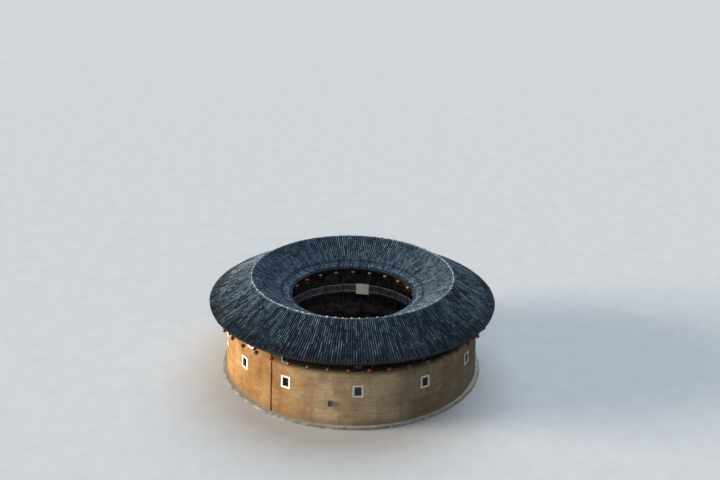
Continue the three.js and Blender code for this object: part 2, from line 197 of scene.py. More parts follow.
def spun(profile, steps):
    """A closed ring swept round the axis from a closed outline of (radius, height) points."""
    bpy.ops.object.select_all(action="DESELECT")
    bpy.ops.mesh.primitive_circle_add(vertices=len(profile), fill_type="NOTHING")
    made = bpy.context.object
    made.data.vertices.foreach_set("co", np.array([(0, -r, z) for r, z in profile], float).ravel())
    return edited(
        made,
        lambda: bpy.ops.mesh.spin(steps=steps, angle=2 * math.pi, center=(0, 0, 0), axis=(0, 0, 1)),
        lambda: bpy.ops.mesh.remove_doubles(threshold=SEAM),
        lambda: bpy.ops.mesh.normals_make_consistent(inside=False),
    )


print("blocks, rods and rings can be made, and a ring closes within", SEAM, "m")


# %% Points of a mesh as numbers
def points_of(piece):
    """The mesh's points as an array."""
    points = np.empty(3 * len(piece.data.vertices))
    piece.data.vertices.foreach_get("co", points)
    return points.reshape(-1, 3)


def set_points(piece, points):
    """Moves the mesh's points to an array's places."""
    piece.data.vertices.foreach_set("co", points.ravel())
    piece.data.update()


def azimuth_of(points):
    """Azimuths of points, counted like those of the house."""
    return np.arctan2(points[:, 0], -points[:, 1])


def radius_of(points):
    """Distances of points from the ring's axis."""
    return np.hypot(points[:, 0], points[:, 1])


def shares(count):
    """Azimuths that divide the ring into equal parts, from zero."""
    return np.arange(count) * 2 * math.pi / count


def pairs(values):
    """Each value with the one after it."""
    return zip(values[:-1], values[1:])


print("the quarters of the ring start at", np.degrees(shares(4)))

# %% [markdown]
# Most of this house repeats round the ring. What repeats is modelled once, as it would stand at azimuth
# zero, and copied into one mesh, each copy with its own number from 0 to 1 in the attribute `tint`. The
# finishes read that number, so that no two boards or tiles have quite the same colour.


# %% Places round the ring
def about_z(angle):
    """3x3 turns about the upright axis."""
    c, s, o = np.cos(angle), np.sin(angle), np.zeros_like(angle)
    return np.stack([np.stack([c, -s, o], -1), np.stack([s, c, o], -1), np.stack([o, o, o + 1], -1)], -2)


def about_x(angle):
    """3x3 turns about the X axis, which pitch a piece that faces -Y."""
    c, s, o = np.cos(angle), np.sin(angle), np.zeros_like(angle)
    return np.stack([np.stack([o + 1, o, o], -1), np.stack([o, c, -s], -1), np.stack([o, s, c], -1)], -2)


def places(azimuth, spot=(0.0, 0.0, 0.0), pitch=0.0, turn=0.0, size=(1.0, 1.0, 1.0)):
    """4x4 places: a spot at azimuth zero, turned, pitched and sized there, then carried round the ring."""
    spot, size = np.asarray(spot, float), np.asarray(size, float)
    parts = [np.asarray(v, float) for v in (azimuth, pitch, turn, spot[..., 0], size[..., 0])]
    azimuth, pitch, turn, _, _ = np.broadcast_arrays(*parts)
    made = np.zeros(azimuth.shape + (4, 4))
    made[..., 3, 3] = 1
    round_axis = about_z(azimuth)
    carried = np.broadcast_to(spot, azimuth.shape + (3,))
    made[..., :3, :3] = round_axis @ about_x(pitch) @ about_z(turn) * size[..., None, :]
    made[..., :3, 3] = np.einsum("...ij,...j->...i", round_axis, carried)
    return made.reshape(-1, 4, 4)


print("the gate lies towards", places(GATE_AZIMUTH, (0, -1, 0))[0, :3, 3].round(3))

# %% [markdown]
# The copies of a template are written straight into the arrays of one new mesh. An array modifier could
# repeat it too, but it gives every copy the same number, and thousands of separate objects would be slow
# to export.


# %% Copies joined into one mesh
def marked(piece, name, values):
    """Gives every point of a mesh a number that its finish reads."""
    piece.data.attributes.new(name, "FLOAT", "POINT").data.foreach_set("value", values)
    return piece


def copied(name, template, where, tint=None):
    """One mesh of a template's copies, with its finishes and numbers, and the number tint for each copy."""
    source = template.data
    count, points = len(where), points_of(template)
    loops = np.empty(len(source.loops), np.int32)
    source.loops.foreach_get("vertex_index", loops)
    starts, slots = (np.empty(len(source.polygons), np.int32) for _ in range(2))
    smooth = np.empty(len(source.polygons), bool)
    source.polygons.foreach_get("loop_start", starts)
    source.polygons.foreach_get("material_index", slots)
    source.polygons.foreach_get("use_smooth", smooth)
    step = np.arange(count)[:, None]
    moved = np.einsum("nij,vj->nvi", where[:, :3, :3], points) + where[:, None, :3, 3]
    mesh = bpy.data.meshes.new(name)
    mesh.vertices.add(count * len(points))
    mesh.vertices.foreach_set("co", moved.ravel())
    mesh.loops.add(count * len(loops))
    mesh.loops.foreach_set("vertex_index", (loops + step * len(points)).ravel())
    mesh.polygons.add(count * len(starts))
    mesh.polygons.foreach_set("loop_start", (starts + step * len(loops)).ravel())
    mesh.polygons.foreach_set("material_index", np.tile(slots, count))
    mesh.polygons.foreach_set("use_smooth", np.tile(smooth, count))
    for material in source.materials:
        mesh.materials.append(material)
    mesh.update(calc_edges=True)
    made = bpy.data.objects.new(name, mesh)
    bpy.context.scene.collection.objects.link(made)
    marked(made, "tint", np.repeat(chance.random(count) if tint is None else tint, len(points)))
    for layer in source.attributes:
        if layer.domain == "POINT" and layer.data_type == "FLOAT":
            values = np.empty(len(points))
            layer.data.foreach_get("value", values)
            marked(made, layer.name, np.tile(values, count))
    bpy.data.objects.remove(template)
    return made


print("copies can be joined into one mesh, each with a number of its own")

# %% [markdown]
# Sawn boards are the commonest shape of all, so one unit cube is scaled to each board's span. A span is a
# tuple of six values, from and to on each axis. Every finished piece then gets its name and its finish,
# rides on the house, and hides the solids that it stands for.

# %% Boards and finished pieces
UNIT = (-0.5, 0.5)


def boards(name, spans, azimuths=BAY_MIDDLES, thin=0.0):
    """Sawn boards: each span is (x0, x1, y0, y1, z0, z1) at azimuth zero, copied to every azimuth."""
    spans = np.array(spans, float).reshape(-1, 3, 2)
    middle, size = spans.mean(2), spans[..., 1] - spans[..., 0]
    turns = np.repeat(np.asarray(azimuths), len(spans))
    count = len(azimuths)
    where = places(turns, np.tile(middle, (count, 1)), size=np.tile(size, (count, 1)))
    if thin:
        where[:, :3, 1] *= 1 - thin * chance.random((len(where), 1))
    return copied(name, block(UNIT, UNIT, UNIT), where)


def finished(piece, name, finish, slot, *nodes):
    """Names a piece, gives it its finish, sets it on the house and hides the solids it stands for; slot is
    not used.
    """
    piece.name = name
    piece.data.materials.clear()
    piece.data.materials.append(finish)
    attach(piece, "root")
    if nodes:
        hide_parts(*nodes)
    faces = sum(len(polygon.vertices) - 2 for polygon in piece.data.polygons)
    print(f"{name}: {faces} triangles")
    return piece


# %% [markdown]
# ## Tools for finishes
#
# A finish is a small graph of nodes: noise and patterns on the object's own coordinates, in metres, so
# that every grain, joint and stain has its real size. `Finish` keeps the calls short: each adds a node or
# two and returns an output. Polar coordinates let grain and joints follow the ring. The scale of a noise
# counts its features in a metre, and a ramp's stops say at which value of the noise a grey or a colour
# begins.


# %% Build finishes from nodes
class Finish:
    """A material being built, step by step."""

    AROUND = 12.0

    def __init__(self, name, roughness, metallic=0.0, shine=0.5):
        self.material = bpy.data.materials.new(name)
        self.material.use_nodes = True
        self.tree = self.material.node_tree
        self.shader = self.tree.nodes["Principled BSDF"]
        self.shader.inputs["Roughness"].default_value = roughness
        self.shader.inputs["Metallic"].default_value = metallic
        self.shader.inputs["Specular IOR Level"].default_value = shine
        self.place = self.node("ShaderNodeTexCoord").outputs["Object"]

    def node(self, kind, inputs=None, **settings):
        """Adds a node, with a value or another node's output for each input."""
        made = self.tree.nodes.new(kind)
        for key, value in settings.items():
            setattr(made, key, value)
        for key, value in (inputs or {}).items():
            if isinstance(value, bpy.types.NodeSocket):
                self.tree.links.new(value, made.inputs[key])
            else:
                made.inputs[key].default_value = value
        return made

    def math(self, operation, a, b=0.0):
        return self.node("ShaderNodeMath", {0: a, 1: b}, operation=operation).outputs[0]

    def strayed(self, value, noise, amount):
        """A value moved by a noise."""
        return self.math("ADD", value, self.math("MULTIPLY", noise, amount))

    def centred(self, noise):
        """A noise that goes as far below zero as above it."""
        return self.math("SUBTRACT", noise, 0.5)

    def axes(self, vector):
        return self.node("ShaderNodeSeparateXYZ", {0: vector}).outputs

    def vector(self, x, y, z=0.0):
        return self.node("ShaderNodeCombineXYZ", {0: x, 1: y, 2: z}).outputs[0]

    def stretched(self, vector, *scale):
        return self.node("ShaderNodeMapping", {"Vector": vector, "Scale": scale}).outputs[0]

    def noise(self, vector, scale, detail=4.0, roughness=0.6):
        inputs = {"Vector": vector, "Scale": scale, "Detail": detail, "Roughness": roughness}
        return self.node("ShaderNodeTexNoise", inputs).outputs["Fac"]

    def cells(self, vector, scale):
        """Distance to the nearest of many scattered spots."""
        return self.node("ShaderNodeTexVoronoi", {"Vector": vector, "Scale": scale}).outputs["Distance"]

    def rows(self, vector, pattern):
        """A brick pattern, for anything that is laid in rows."""
        return self.node("ShaderNodeTexBrick", {"Vector": vector, **pattern}).outputs

    def ramp(self, factor, *stops):
        """A colour, or a grey where a stop is one number, for each value of a factor."""
        made = self.node("ShaderNodeValToRGB", {"Fac": factor})
        elements = made.color_ramp.elements
        while len(elements) < len(stops):
            elements.new(0.5)
        for element, (position, colour) in zip(elements, stops):
            element.position = position
            rgb = (colour,) * 3 if isinstance(colour, float) else colour
            element.color = (*rgb, 1.0)
        return made.outputs["Color"]

    def eased(self, factor, *stops):
        """A ramp without kinks, for slow changes round the ring."""
        colour = self.ramp(factor, *stops)
        colour.node.color_ramp.interpolation = "EASE"
        return colour

    def mix(self, factor, a, b, blend="MIX"):
        """One colour passing into another by a factor."""
        made = self.node("ShaderNodeMix", data_type="RGBA", blend_type=blend)
        for index, value in ((0, factor), (6, a), (7, b)):
            if isinstance(value, bpy.types.NodeSocket):
                self.tree.links.new(value, made.inputs[index])
            elif isinstance(value, tuple):
                made.inputs[index].default_value = (*value, 1.0)
            else:
                made.inputs[index].default_value = value
        return made.outputs[2]

    def times(self, colour, other, factor=1.0):
        """One colour multiplied by another."""
        return self.mix(factor, colour, other, "MULTIPLY")

    def shaded(self, colour, factor, *stops):
        """Darkens a colour by a ramp of greys."""
        return self.times(colour, self.ramp(factor, *stops))

    def patched(self, colour, other, factor, *stops):
        """Lays another colour over the first, as strongly as a ramp says."""
        return self.mix(self.ramp(factor, *stops), colour, other)

    def attribute(self, name):
        return self.node("ShaderNodeAttribute", attribute_name=name).outputs["Fac"]

    def polar(self):
        """Coordinates that follow the ring, in metres: along it, out from its axis, and up."""
        x, y, z = self.axes(self.place)
        angle = self.math("ARCTAN2", x, self.math("MULTIPLY", y, -1.0))
        flat = self.node("ShaderNodeVectorMath", {0: self.place, 1: (1, 1, 0)}, operation="MULTIPLY")
        reach = self.node("ShaderNodeVectorMath", {0: flat.outputs[0]}, operation="LENGTH")
        along = self.math("MULTIPLY", angle, self.AROUND)
        return self.vector(along, reach.outputs["Value"], z)

    def turn(self):
        """The share of a turn round the ring: 0 at the back, 0.25 on the left, 0.5 at the front."""
        along = self.axes(self.polar())[0]
        return self.math("ADD", self.math("MULTIPLY", along, 1 / (2 * math.pi * self.AROUND)), 0.5)

    def bump(self, height, strength, distance):
        """Adds relief to the relief that is already there."""
        inputs = {"Height": height, "Strength": strength, "Distance": distance}
        previous = self.shader.inputs["Normal"]
        if previous.is_linked:
            inputs["Normal"] = previous.links[0].from_socket
        self.tree.links.new(self.node("ShaderNodeBump", inputs).outputs[0], previous)

    def grooves(self, rows, strength, distance):
        """Sinks the joints of a brick pattern."""
        self.bump(self.ramp(rows["Fac"], (0.0, 1.0), (1.0, 0.0)), strength, distance)

    def done(self, colour, roughness=None):
        self.tree.links.new(colour, self.shader.inputs["Base Color"])
        if roughness is not None:
            self.tree.links.new(roughness, self.shader.inputs["Roughness"])
        print("finish:", self.material.name)
        return self.material


# %% [markdown]
# ## Light, floor and camera
#
# The house is seen from a hillside, a little under 120 metres away and 64 metres up. The camera was
# worked out from the ellipses of the ridge and both eaves. A camera can be turned by three angles, but
# the slight roll of this one is easier to see as three axes: to the right, up and back.


# %% Camera
CAMERA_SPOT = (0.0, -115.731, 63.946)
CAMERA_PITCH = 0.387
CAMERA_YAW = -0.007
CAMERA_ROLL = 0.02
CAMERA_LENS = 51.0
CAMERA_SENSOR = 36.0
CAMERA_REACH = 1000.0

bpy.ops.object.select_all(action="DESELECT")
bpy.ops.object.camera_add(location=CAMERA_SPOT)
camera = bpy.context.object
ahead = np.array(
    [
        -math.sin(CAMERA_YAW) * math.cos(CAMERA_PITCH),
        math.cos(CAMERA_YAW) * math.cos(CAMERA_PITCH),
        -math.sin(CAMERA_PITCH),
    ]
)
level = np.cross(ahead, (0, 0, 1))
level /= np.linalg.norm(level)
upright = np.cross(level, ahead)
to_right = level * math.cos(CAMERA_ROLL) + upright * math.sin(CAMERA_ROLL)
to_top = upright * math.cos(CAMERA_ROLL) - level * math.sin(CAMERA_ROLL)
camera.rotation_mode = "QUATERNION"
camera.rotation_quaternion = Matrix(np.array([to_right, to_top, -ahead]).T.tolist()).to_quaternion()
camera.data.lens = CAMERA_LENS
camera.data.sensor_width = CAMERA_SENSOR
camera.data.clip_end = CAMERA_REACH
bpy.context.scene.camera = camera
print("camera at", CAMERA_SPOT)

# %% [markdown]
# Light comes from the left, warm, low and wide. Two wide pale blue lamps and the sky fill the rest, the
# stronger of them from behind, and the floor is plain and pale. Each lamp is given by the azimuth and the
# height that it shines from, in degrees, its power, its width in degrees and its colour.

# %% Light
SKY_COLOUR = (0.72, 0.85, 1.0)
SKY_POWER = 0.20
LAMPS = {
    "evening_sun": (-86, 8, 8.5, 25, (1.0, 0.88, 0.71)),
    "open_sky": (165, 55, 2.5, 60, (0.76, 0.88, 1.0)),
    "near_sky": (10, 38, 0.8, 60, (0.88, 0.94, 1.0)),
}
for name, (azimuth, height, power, width, colour) in LAMPS.items():
    bpy.ops.object.light_add(type="SUN")
    lamp = bpy.context.object
    lamp.name = name
    lamp.rotation_euler = (math.radians(90 - height), 0.0, math.radians(azimuth))
    lamp.data.energy = power
    lamp.data.angle = math.radians(width)
    lamp.data.color = colour
world = bpy.data.worlds.new("sky")
bpy.context.scene.world = world
world.use_nodes = True
sky = world.node_tree.nodes["Background"]
sky.inputs["Color"].default_value = (*SKY_COLOUR, 1.0)
sky.inputs["Strength"].default_value = SKY_POWER
bpy.context.scene.view_settings.view_transform = "Standard"
print("lamps:", *LAMPS)

# %% Floor
FLOOR_R = 400
FLOOR_SIDES = 64
FLOOR_Z = -0.01
FLOOR_GREYS = ((0.3, 0.50), (0.7, 0.54))


def floor_finish():
    """A pale grey with hardly visible clouds."""
    f = Finish("pale_floor", roughness=0.9)
    return f.done(f.ramp(f.noise(f.place, scale=0.4), *FLOOR_GREYS))


bpy.ops.object.select_all(action="DESELECT")
bpy.ops.mesh.primitive_circle_add(
    vertices=FLOOR_SIDES, radius=FLOOR_R, fill_type="NGON", location=(0, 0, FLOOR_Z)
)
floor = settled(bpy.context.object)
floor.name = "floor"
floor.data.materials.append(floor_finish())
print("floor laid")

# %% [markdown]
# ## The earth wall
#
# The wall was rammed in thin lifts between boards, so it shows level layers, a thin joint at every lift
# and upright joints where the boards met. Rain leaves upright stains, and the weather pits the face. One
# picture of earth could be stretched over it, but it would repeat round the ring. Layers of noise don't.
# Most follow the earth itself, such as the rain that splashes up at the foot, but some are painted light:
# painted sunlight on the left, and painted shade at the front and under the eave.

# %% Earth finish
# Painted light in the earth's tones: the sunlit left is orange and bright, and darker stretches round the
# ring are painted shade; the rest is the earth's own colour.
SUNLIT_LOOK_EARTH = ((0.36, (0.37, 0.198, 0.078)), (0.5, (0.46, 0.262, 0.112)), (0.64, (0.53, 0.33, 0.16)))
SHADED_LOOK_EARTH = ((0.36, (0.40, 0.285, 0.170)), (0.5, (0.52, 0.380, 0.230)), (0.64, (0.60, 0.46, 0.295)))
SHADED_LOOK_SIDE = ((0.39, 0.0), (0.48, 1.0), (0.75, 1.0), (0.94, 0.0))
WEATHER_AND_PAINTED_LIGHT = (
    (0.00, 0.85),
    (0.25, 1.0),
    (0.32, 1.0),
    (0.37, (0.76, 0.725, 0.68)),
    (0.41, (0.76, 0.725, 0.68)),
    (0.45, 0.72),
    (0.49, 0.92),
    (0.53, 0.76),
    (0.58, (0.40, 0.40, 0.42)),
    (0.72, (0.42, 0.42, 0.44)),
    (0.85, 0.72),
    (1.00, 0.85),
)
JOINT_EARTH = (0.13, 0.08, 0.045)
CHALKY_EARTH = (0.50, 0.42, 0.31)
SPLASHED_EARTH = (0.15, 0.12, 0.08)
WALL_TO_AROUND = 1.3
RAMMED_LIFTS = {
    "Scale": 1.0,
    "Brick Width": 0.67,
    "Row Height": 0.21,
    "Mortar Size": 0.012,
    "Mortar Smooth": 0.8,
    "Color1": (0.80, 0.80, 0.80, 1),
    "Color2": (1, 1, 1, 1),
}
# Painted shade: the top of the wall under the front eave is darkened almost to black, standing for the
# eave's shadow.
EAVE_SHADE_SIDE = ((0.375, 0.0), (0.43, 1.0), (0.66, 1.0), (0.80, 0.0))
EAVE_SHADE = ((0.705, 1.0), (0.742, 0.36), (0.775, 0.02))
EAVE_SHADE_UNIT = 10.0


def painted_eave_shade(f, colour):
    """Paints the eave's shade on what is high under it at the front, where the sun never gets in under it.
    """
    up = f.axes(f.place)[2]
    level = f.strayed(up, f.noise(f.place, scale=0.35, detail=5), amount=0.9)
    shade = f.ramp(f.math("MULTIPLY", level, 1 / EAVE_SHADE_UNIT), *EAVE_SHADE)
    return f.times(colour, shade, factor=f.eased(f.turn(), *EAVE_SHADE_SIDE))


def bare_earth(f):
    """Earth tones, partly painted light: orange and bright on the sunlit left, browner at the front, painted
    shade further round.
    """
    broad = f.noise(f.place, scale=0.35, detail=5)
    sunlit_look = f.ramp(broad, *SUNLIT_LOOK_EARTH)
    shaded_look = f.ramp(broad, *SHADED_LOOK_EARTH)
    turn = f.strayed(f.turn(), f.centred(f.noise(f.place, scale=0.25)), amount=0.06)
    return f.times(f.mix(f.eased(turn, *SHADED_LOOK_SIDE), sunlit_look, shaded_look), f.eased(turn, *WEATHER_AND_PAINTED_LIGHT))


def earth_finish():
    """Rammed earth with its layers, lifts, stains and pits."""
    f = Finish("rammed_earth", roughness=0.95, shine=0.05)
    along, _, up = f.axes(f.polar())
    colour = bare_earth(f)
    layers = f.noise(f.stretched(f.place, 0.25, 0.25, 3.2), scale=1.0, detail=5)
    colour = f.shaded(colour, layers, (0.32, 0.82), (0.60, 1.0))
    lines = f.noise(f.stretched(f.place, 0.5, 0.5, 13.0), scale=1.0, detail=3)
    colour = f.shaded(colour, lines, (0.36, 0.88), (0.52, 1.0))
    stains = f.noise(f.stretched(f.place, 1.1, 1.1, 0.10), scale=1.0, detail=5)
    colour = f.shaded(colour, stains, (0.32, 0.78), (0.48, 1.0))
    uneven = f.strayed(up, f.noise(f.place, scale=0.8), amount=0.08)
    lifts = f.rows(f.vector(f.math("MULTIPLY", along, WALL_TO_AROUND), uneven), RAMMED_LIFTS)
    colour = f.times(colour, lifts["Color"], factor=0.6)
    colour = f.mix(f.math("MULTIPLY", lifts["Fac"], 0.38), colour, JOINT_EARTH)
    grit = f.noise(f.place, scale=22, detail=5, roughness=0.7)
    colour = f.shaded(colour, grit, (0.3, 0.72), (0.6, 1.0))
    chalk = f.noise(f.place, scale=1.4, detail=6, roughness=0.7)
    colour = f.patched(colour, CHALKY_EARTH, chalk, (0.60, 0.0), (0.74, 0.4))
    splash = f.strayed(up, f.noise(f.place, scale=1.1), amount=-1.2)
    colour = f.patched(colour, SPLASHED_EARTH, splash, (0.0, 0.55), (0.55, 0.0))
    # painted shade of the eave
    colour = painted_eave_shade(f, colour)
    pits = f.cells(f.place, scale=3.2)
    colour = f.shaded(colour, pits, (0.04, 0.6), (0.10, 1.0))
    f.bump(f.noise(f.place, scale=2.2, detail=5), strength=0.45, distance=0.05)
    f.bump(layers, strength=0.25, distance=0.03)
    f.grooves(lifts, strength=0.3, distance=0.015)
    f.bump(grit, strength=0.35, distance=0.012)
    return f.done(colour)


EARTH = earth_finish()

# %% [markdown]
# Small windows pierce the two upper storeys, and one gate leads through at the back. Each window widens
# inwards, to let more light into its room. They could be left open while the wall is built up in lengths,
# but one boolean with all the cutters joined is shorter, and it leaves the lifts running through
# unbroken.

# %% Openings
SECOND_WINDOWS = np.radians([3, 33, 62, 92, 121, 151, 180, 207, 233, 258, 283, 306.5, 331.5])
THIRD_WINDOWS = np.radians([3, 33, 62, 92, 121, 151, 180, 207, 233, 258, 283, 311, 331.5])
WINDOW_ROWS = ((4.2, 1.0, SECOND_WINDOWS), (7.35, 0.9, THIRD_WINDOWS))
WINDOW_W = 0.72
WINDOW_FLARE = 1.3
CUT_INNER_R = 14.3
CUT_OUTER_R = 16.5
GATE_HALF = 1.07
GATE_TOP_Z = 3.04
GATE_PLAY = 0.01


def opening_factor(radius):
    """How much an opening has widened at a radius."""
    return 1 + (WINDOW_FLARE - 1) * (CUT_OUTER_R - radius) / (CUT_OUTER_R - CUT_INNER_R)


def window_cutter(height):
    """A block as wide as a window outside, and wider and higher towards the room."""
    made = block((-WINDOW_W / 2, WINDOW_W / 2), (-CUT_OUTER_R, -CUT_INNER_R), (-height / 2, height / 2))
    points = points_of(made)
    inner = points[:, 1] > -(CUT_INNER_R + CUT_OUTER_R) / 2
    points[inner] *= (WINDOW_FLARE, 1, WINDOW_FLARE)
    set_points(made, points)
    return made


cutters = [
    copied("window_cutters", window_cutter(height), places(azimuths, (0, 0, z + height / 2)))
    for z, height, azimuths in WINDOW_ROWS
]
gate_cut = block((-GATE_HALF, GATE_HALF), (-CUT_OUTER_R, -CUT_INNER_R), (0, GATE_TOP_Z + GATE_PLAY))
cutters.append(copied("gate_cutter", gate_cut, places(np.array([GATE_AZIMUTH]))))
cutter = joined(cutters)
print("openings to cut:", len(SECOND_WINDOWS) + len(THIRD_WINDOWS) + 1)

# %% [markdown]
# The wall leans in a little, and its face was never quite even. A spun ring gives the smooth battered
# form, and small waves in the mesh take away its machined look. The alternative, a flat-sided ring as in
# the solids, would show its corners in this light.

# %% Ram the wall
WALL_STEPS = 264
WALL_ROWS = 26
WALL_WAVE = 0.007
WALL_EDGE = 30
WALL_WAVES = ((9, 0.7, 0.4), (17, 1.9, 1.3), (31, 1.1, 2.6), (46, 3.1, 4.0))
levels = np.linspace(WALL_FOOT_Z, WALL_TOP_Z, WALL_ROWS)
outline = [(wall_radius(z), z) for z in levels] + [(WALL_INNER_R, WALL_TOP_Z), (WALL_INNER_R, WALL_FOOT_Z)]
wall = spun(outline, WALL_STEPS)
spots = points_of(wall)
outside = radius_of(spots) > (WALL_INNER_R + WALL_TOP_R) / 2
azimuth = azimuth_of(spots)
waves = sum(
    WALL_WAVE * np.sin(k * azimuth + phase) * np.sin(m * spots[:, 2] + 2 * phase)
    for k, m, phase in WALL_WAVES
)
spots[:, :2] *= (1 + np.where(outside, waves, 0) / WALL_FOOT_R)[:, None]
set_points(wall, spots)
modified(wall, "BOOLEAN", operation="DIFFERENCE", object=cutter, solver="EXACT")
bpy.data.objects.remove(cutter)
WALL_NODES = [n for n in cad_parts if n.startswith("earth_wall")]
finished(smoothed(wall, degrees=WALL_EDGE), "rammed_wall", EARTH, "earth", *WALL_NODES)

# %% [markdown]
# The windows have broad limewashed surrounds, brushed on by hand and worn since. Each could be painted on
# by the wall's finish, but a thin coat of plaster with an uneven edge catches the light as the real one
# does.

# %% Limewash finish
LIME_WHITES = ((0.3, (0.76, 0.73, 0.65)), (0.7, (0.88, 0.86, 0.80)))
FLAKED_LIME = (0.36, 0.24, 0.12)
LIME_PAINTED_SHADE = ((0.42, 1.0), (0.48, 0.62), (0.70, 0.62), (0.78, 1.0))


def limewash_finish():
    """Brushed lime, streaked by rain and flaked down to the earth in places, with painted shade at the front
    and under the eave.
    """
    f = Finish("limewash", roughness=0.9, shine=0.1)
    flaked = f.noise(f.place, scale=3.4, detail=6, roughness=0.7)
    streaks = f.noise(f.stretched(f.place, 6, 6, 0.6), scale=1.0)
    colour = f.ramp(f.noise(f.place, scale=9), *LIME_WHITES)
    colour = f.shaded(colour, streaks, (0.3, 0.75), (0.5, 1.0))
    # Painted shade on the surrounds at the front.
    colour = f.shaded(colour, f.turn(), *LIME_PAINTED_SHADE)
    colour = f.patched(colour, FLAKED_LIME, flaked, (0.62, 0.0), (0.68, 1.0))
    f.bump(flaked, strength=0.3, distance=0.01)
    return f.done(painted_eave_shade(f, colour))


LIMEWASH = limewash_finish()

# %% Window surrounds
BAND = 0.21
COAT = 0.03
COAT_PROUD = 0.006
EDGE_STRAY = 0.02
GRID = (11, 13)
LYING = (math.pi / 2, 0, 0)
TOUCHING = 0.001


def moved_onto(hole, points):
    """Moves the grid lines nearest to a hole's edges onto those edges."""
    for axis in (0, 2):
        lines = np.unique(np.round(points[:, axis], 4))
        near = lines[np.argmin(abs(lines - hole[axis]))]
        for sign in (-1, 1):
            line = np.isclose(points[:, axis], sign * near, atol=TOUCHING)
            points[line, axis] = sign * hole[axis]
    return points


def without_middle(piece, hole):
    """Deletes the faces of an upright grid that lie inside a hole."""
    alone(piece)
    bpy.ops.object.mode_set(mode="EDIT")
    bpy.ops.mesh.select_all(action="DESELECT")
    bpy.ops.object.mode_set(mode="OBJECT")
    for face in piece.data.polygons:
        face.select = bool(abs(face.center.x) < hole[0] and abs(face.center.z) < hole[2])
    bpy.ops.object.mode_set(mode="EDIT")
    bpy.ops.mesh.select_mode(type="FACE")
    bpy.ops.mesh.delete(type="FACE")
    bpy.ops.object.mode_set(mode="OBJECT")
    return piece


def surround(z, height):
    """A flat frame of plaster, standing upright with its face to -Y, with a hand-made edge."""
    opened = opening_factor(wall_radius(z + height / 2)) / 2
    hole = np.array([WINDOW_W, 0, height]) * opened
    full = hole + (BAND, 0, BAND)
    bpy.ops.object.select_all(action="DESELECT")
    bpy.ops.mesh.primitive_grid_add(x_subdivisions=GRID[0], y_subdivisions=GRID[1], size=1, rotation=LYING)
    made = settled(bpy.context.object)
    set_points(made, moved_onto(hole, points_of(made) * 2 * full))
    points = points_of(without_middle(made, hole))
    from_edge = abs(abs(points) - full)
    rim = (from_edge[:, 0] < TOUCHING) | (from_edge[:, 2] < TOUCHING)
    points[rim] += chance.uniform(-EDGE_STRAY, EDGE_STRAY, (int(rim.sum()), 3)) * (1, 0, 1)
    set_points(made, points)
    return modified(made, "SOLIDIFY", thickness=COAT, offset=0.0)


surrounds = []
for z, height, azimuths in WINDOW_ROWS:
    spot = (0, -wall_radius(z + height / 2) - COAT_PROUD, z + height / 2)
    surrounds.append(copied("surrounds", surround(z, height), places(azimuths, spot, pitch=-BATTER)))
finished(joined(surrounds), "window_surrounds", LIMEWASH, "earth")

# %% [markdown]
# ## Tiles
#
# The roof is laid with plain grey clay tiles in rows from ridge to eave: hollow tiles form channels, and
# arched tiles cover the gaps between them. Rows of real tiles could be drawn by a bump map, but their
# scalloped ends and shadows are what gives this roof its look, so each arched tile is a small closed
# mesh, with its own tint, turned and shifted a little as by hand. The finish adds what grows on old
# tiles: dark patches, lichen, and rings round the inner eave, where rain runs together. The front and the
# back of the ring are darker than its sides, as painted shade.

# %% Tile finishes
RINGS = (
    (0.0, 0.32),
    (0.396, 0.32),
    (0.401, 1.0),
    (0.406, 1.0),
    (0.411, 0.66),
    (0.430, 0.66),
    (0.437, 0.24),
    (0.443, 0.24),
    (0.452, 0.66),
    (0.820, 0.66),
    (0.835, 0.32),
)
RINGS_REACH = 20.0
CREST_PAINTED_LIGHT = ((0.0, 0.10), (0.68, 0.24), (1.0, 1.0))
DARK_GROWTH = (0.012, 0.022, 0.036)
LICHEN = (0.30, 0.33, 0.36)


def painted_side_shade(front, back):
    """A ramp round the ring with a grey for the front and one for the back, which paints shade there."""
    return (
        (0.06, back),
        (0.20, 1.0),
        (0.30, 1.0),
        (0.38, front),
        (0.62, front),
        (0.72, 1.0),
        (0.80, 1.0),
        (0.94, back),
    )


def tile_finish(name, worn, shades, front=1.0, back=1.0):
    """Grey clay: a tone for each tile, dark growth in patches and rings, painted shade at front and back and
    on the flanks, and a painted highlight on the crest.
    """
    f = Finish(name, roughness=0.7, shine=0.15)
    colour = f.ramp(f.attribute("tint"), *shades)
    patches = f.noise(f.place, scale=0.35, detail=6, roughness=0.65)
    colour = f.patched(colour, DARK_GROWTH, patches, (0.40, 0.35), (0.58, 0.0))
    squares = f.noise(f.place, scale=1.5, detail=3, roughness=0.7)
    colour = f.shaded(colour, squares, (0.38, 0.68), (0.56, 1.0))
    lichen = f.noise(f.place, scale=6.0, detail=6, roughness=0.8)
    colour = f.patched(colour, LICHEN, lichen, (0.58, 0.0), (0.74, worn))
    reach = f.strayed(f.axes(f.polar())[1], f.centred(f.noise(f.place, scale=0.9)), amount=0.25)
    colour = f.shaded(colour, f.math("MULTIPLY", reach, 1 / RINGS_REACH), *RINGS)
    # Painted shade: the front and the back of the ring are darker.
    colour = f.shaded(colour, f.turn(), *painted_side_shade(front, back))
    # Painted highlight on the crest of each arched tile, and painted shade on its flanks.
    colour = f.shaded(colour, f.attribute("crest"), *CREST_PAINTED_LIGHT)
    fine = f.noise(f.place, scale=40, detail=3)
    colour = f.shaded(colour, fine, (0.3, 0.7), (0.6, 1.0))
    f.bump(fine, strength=0.25, distance=0.01)
    return f.done(colour)


def paler(shades, factor):
    """The same shades, each brighter by a factor."""
    return [(share, tuple(min(1.0, factor * v) for v in colour)) for share, colour in shades]


COVER_SHADES = (
    (0.0, (0.022, 0.050, 0.092)),
    (0.30, (0.140, 0.240, 0.372)),
    (0.55, (0.31, 0.46, 0.635)),
    (0.80, (0.54, 0.72, 0.89)),
    (1.0, (0.79, 0.92, 1.0)),
)
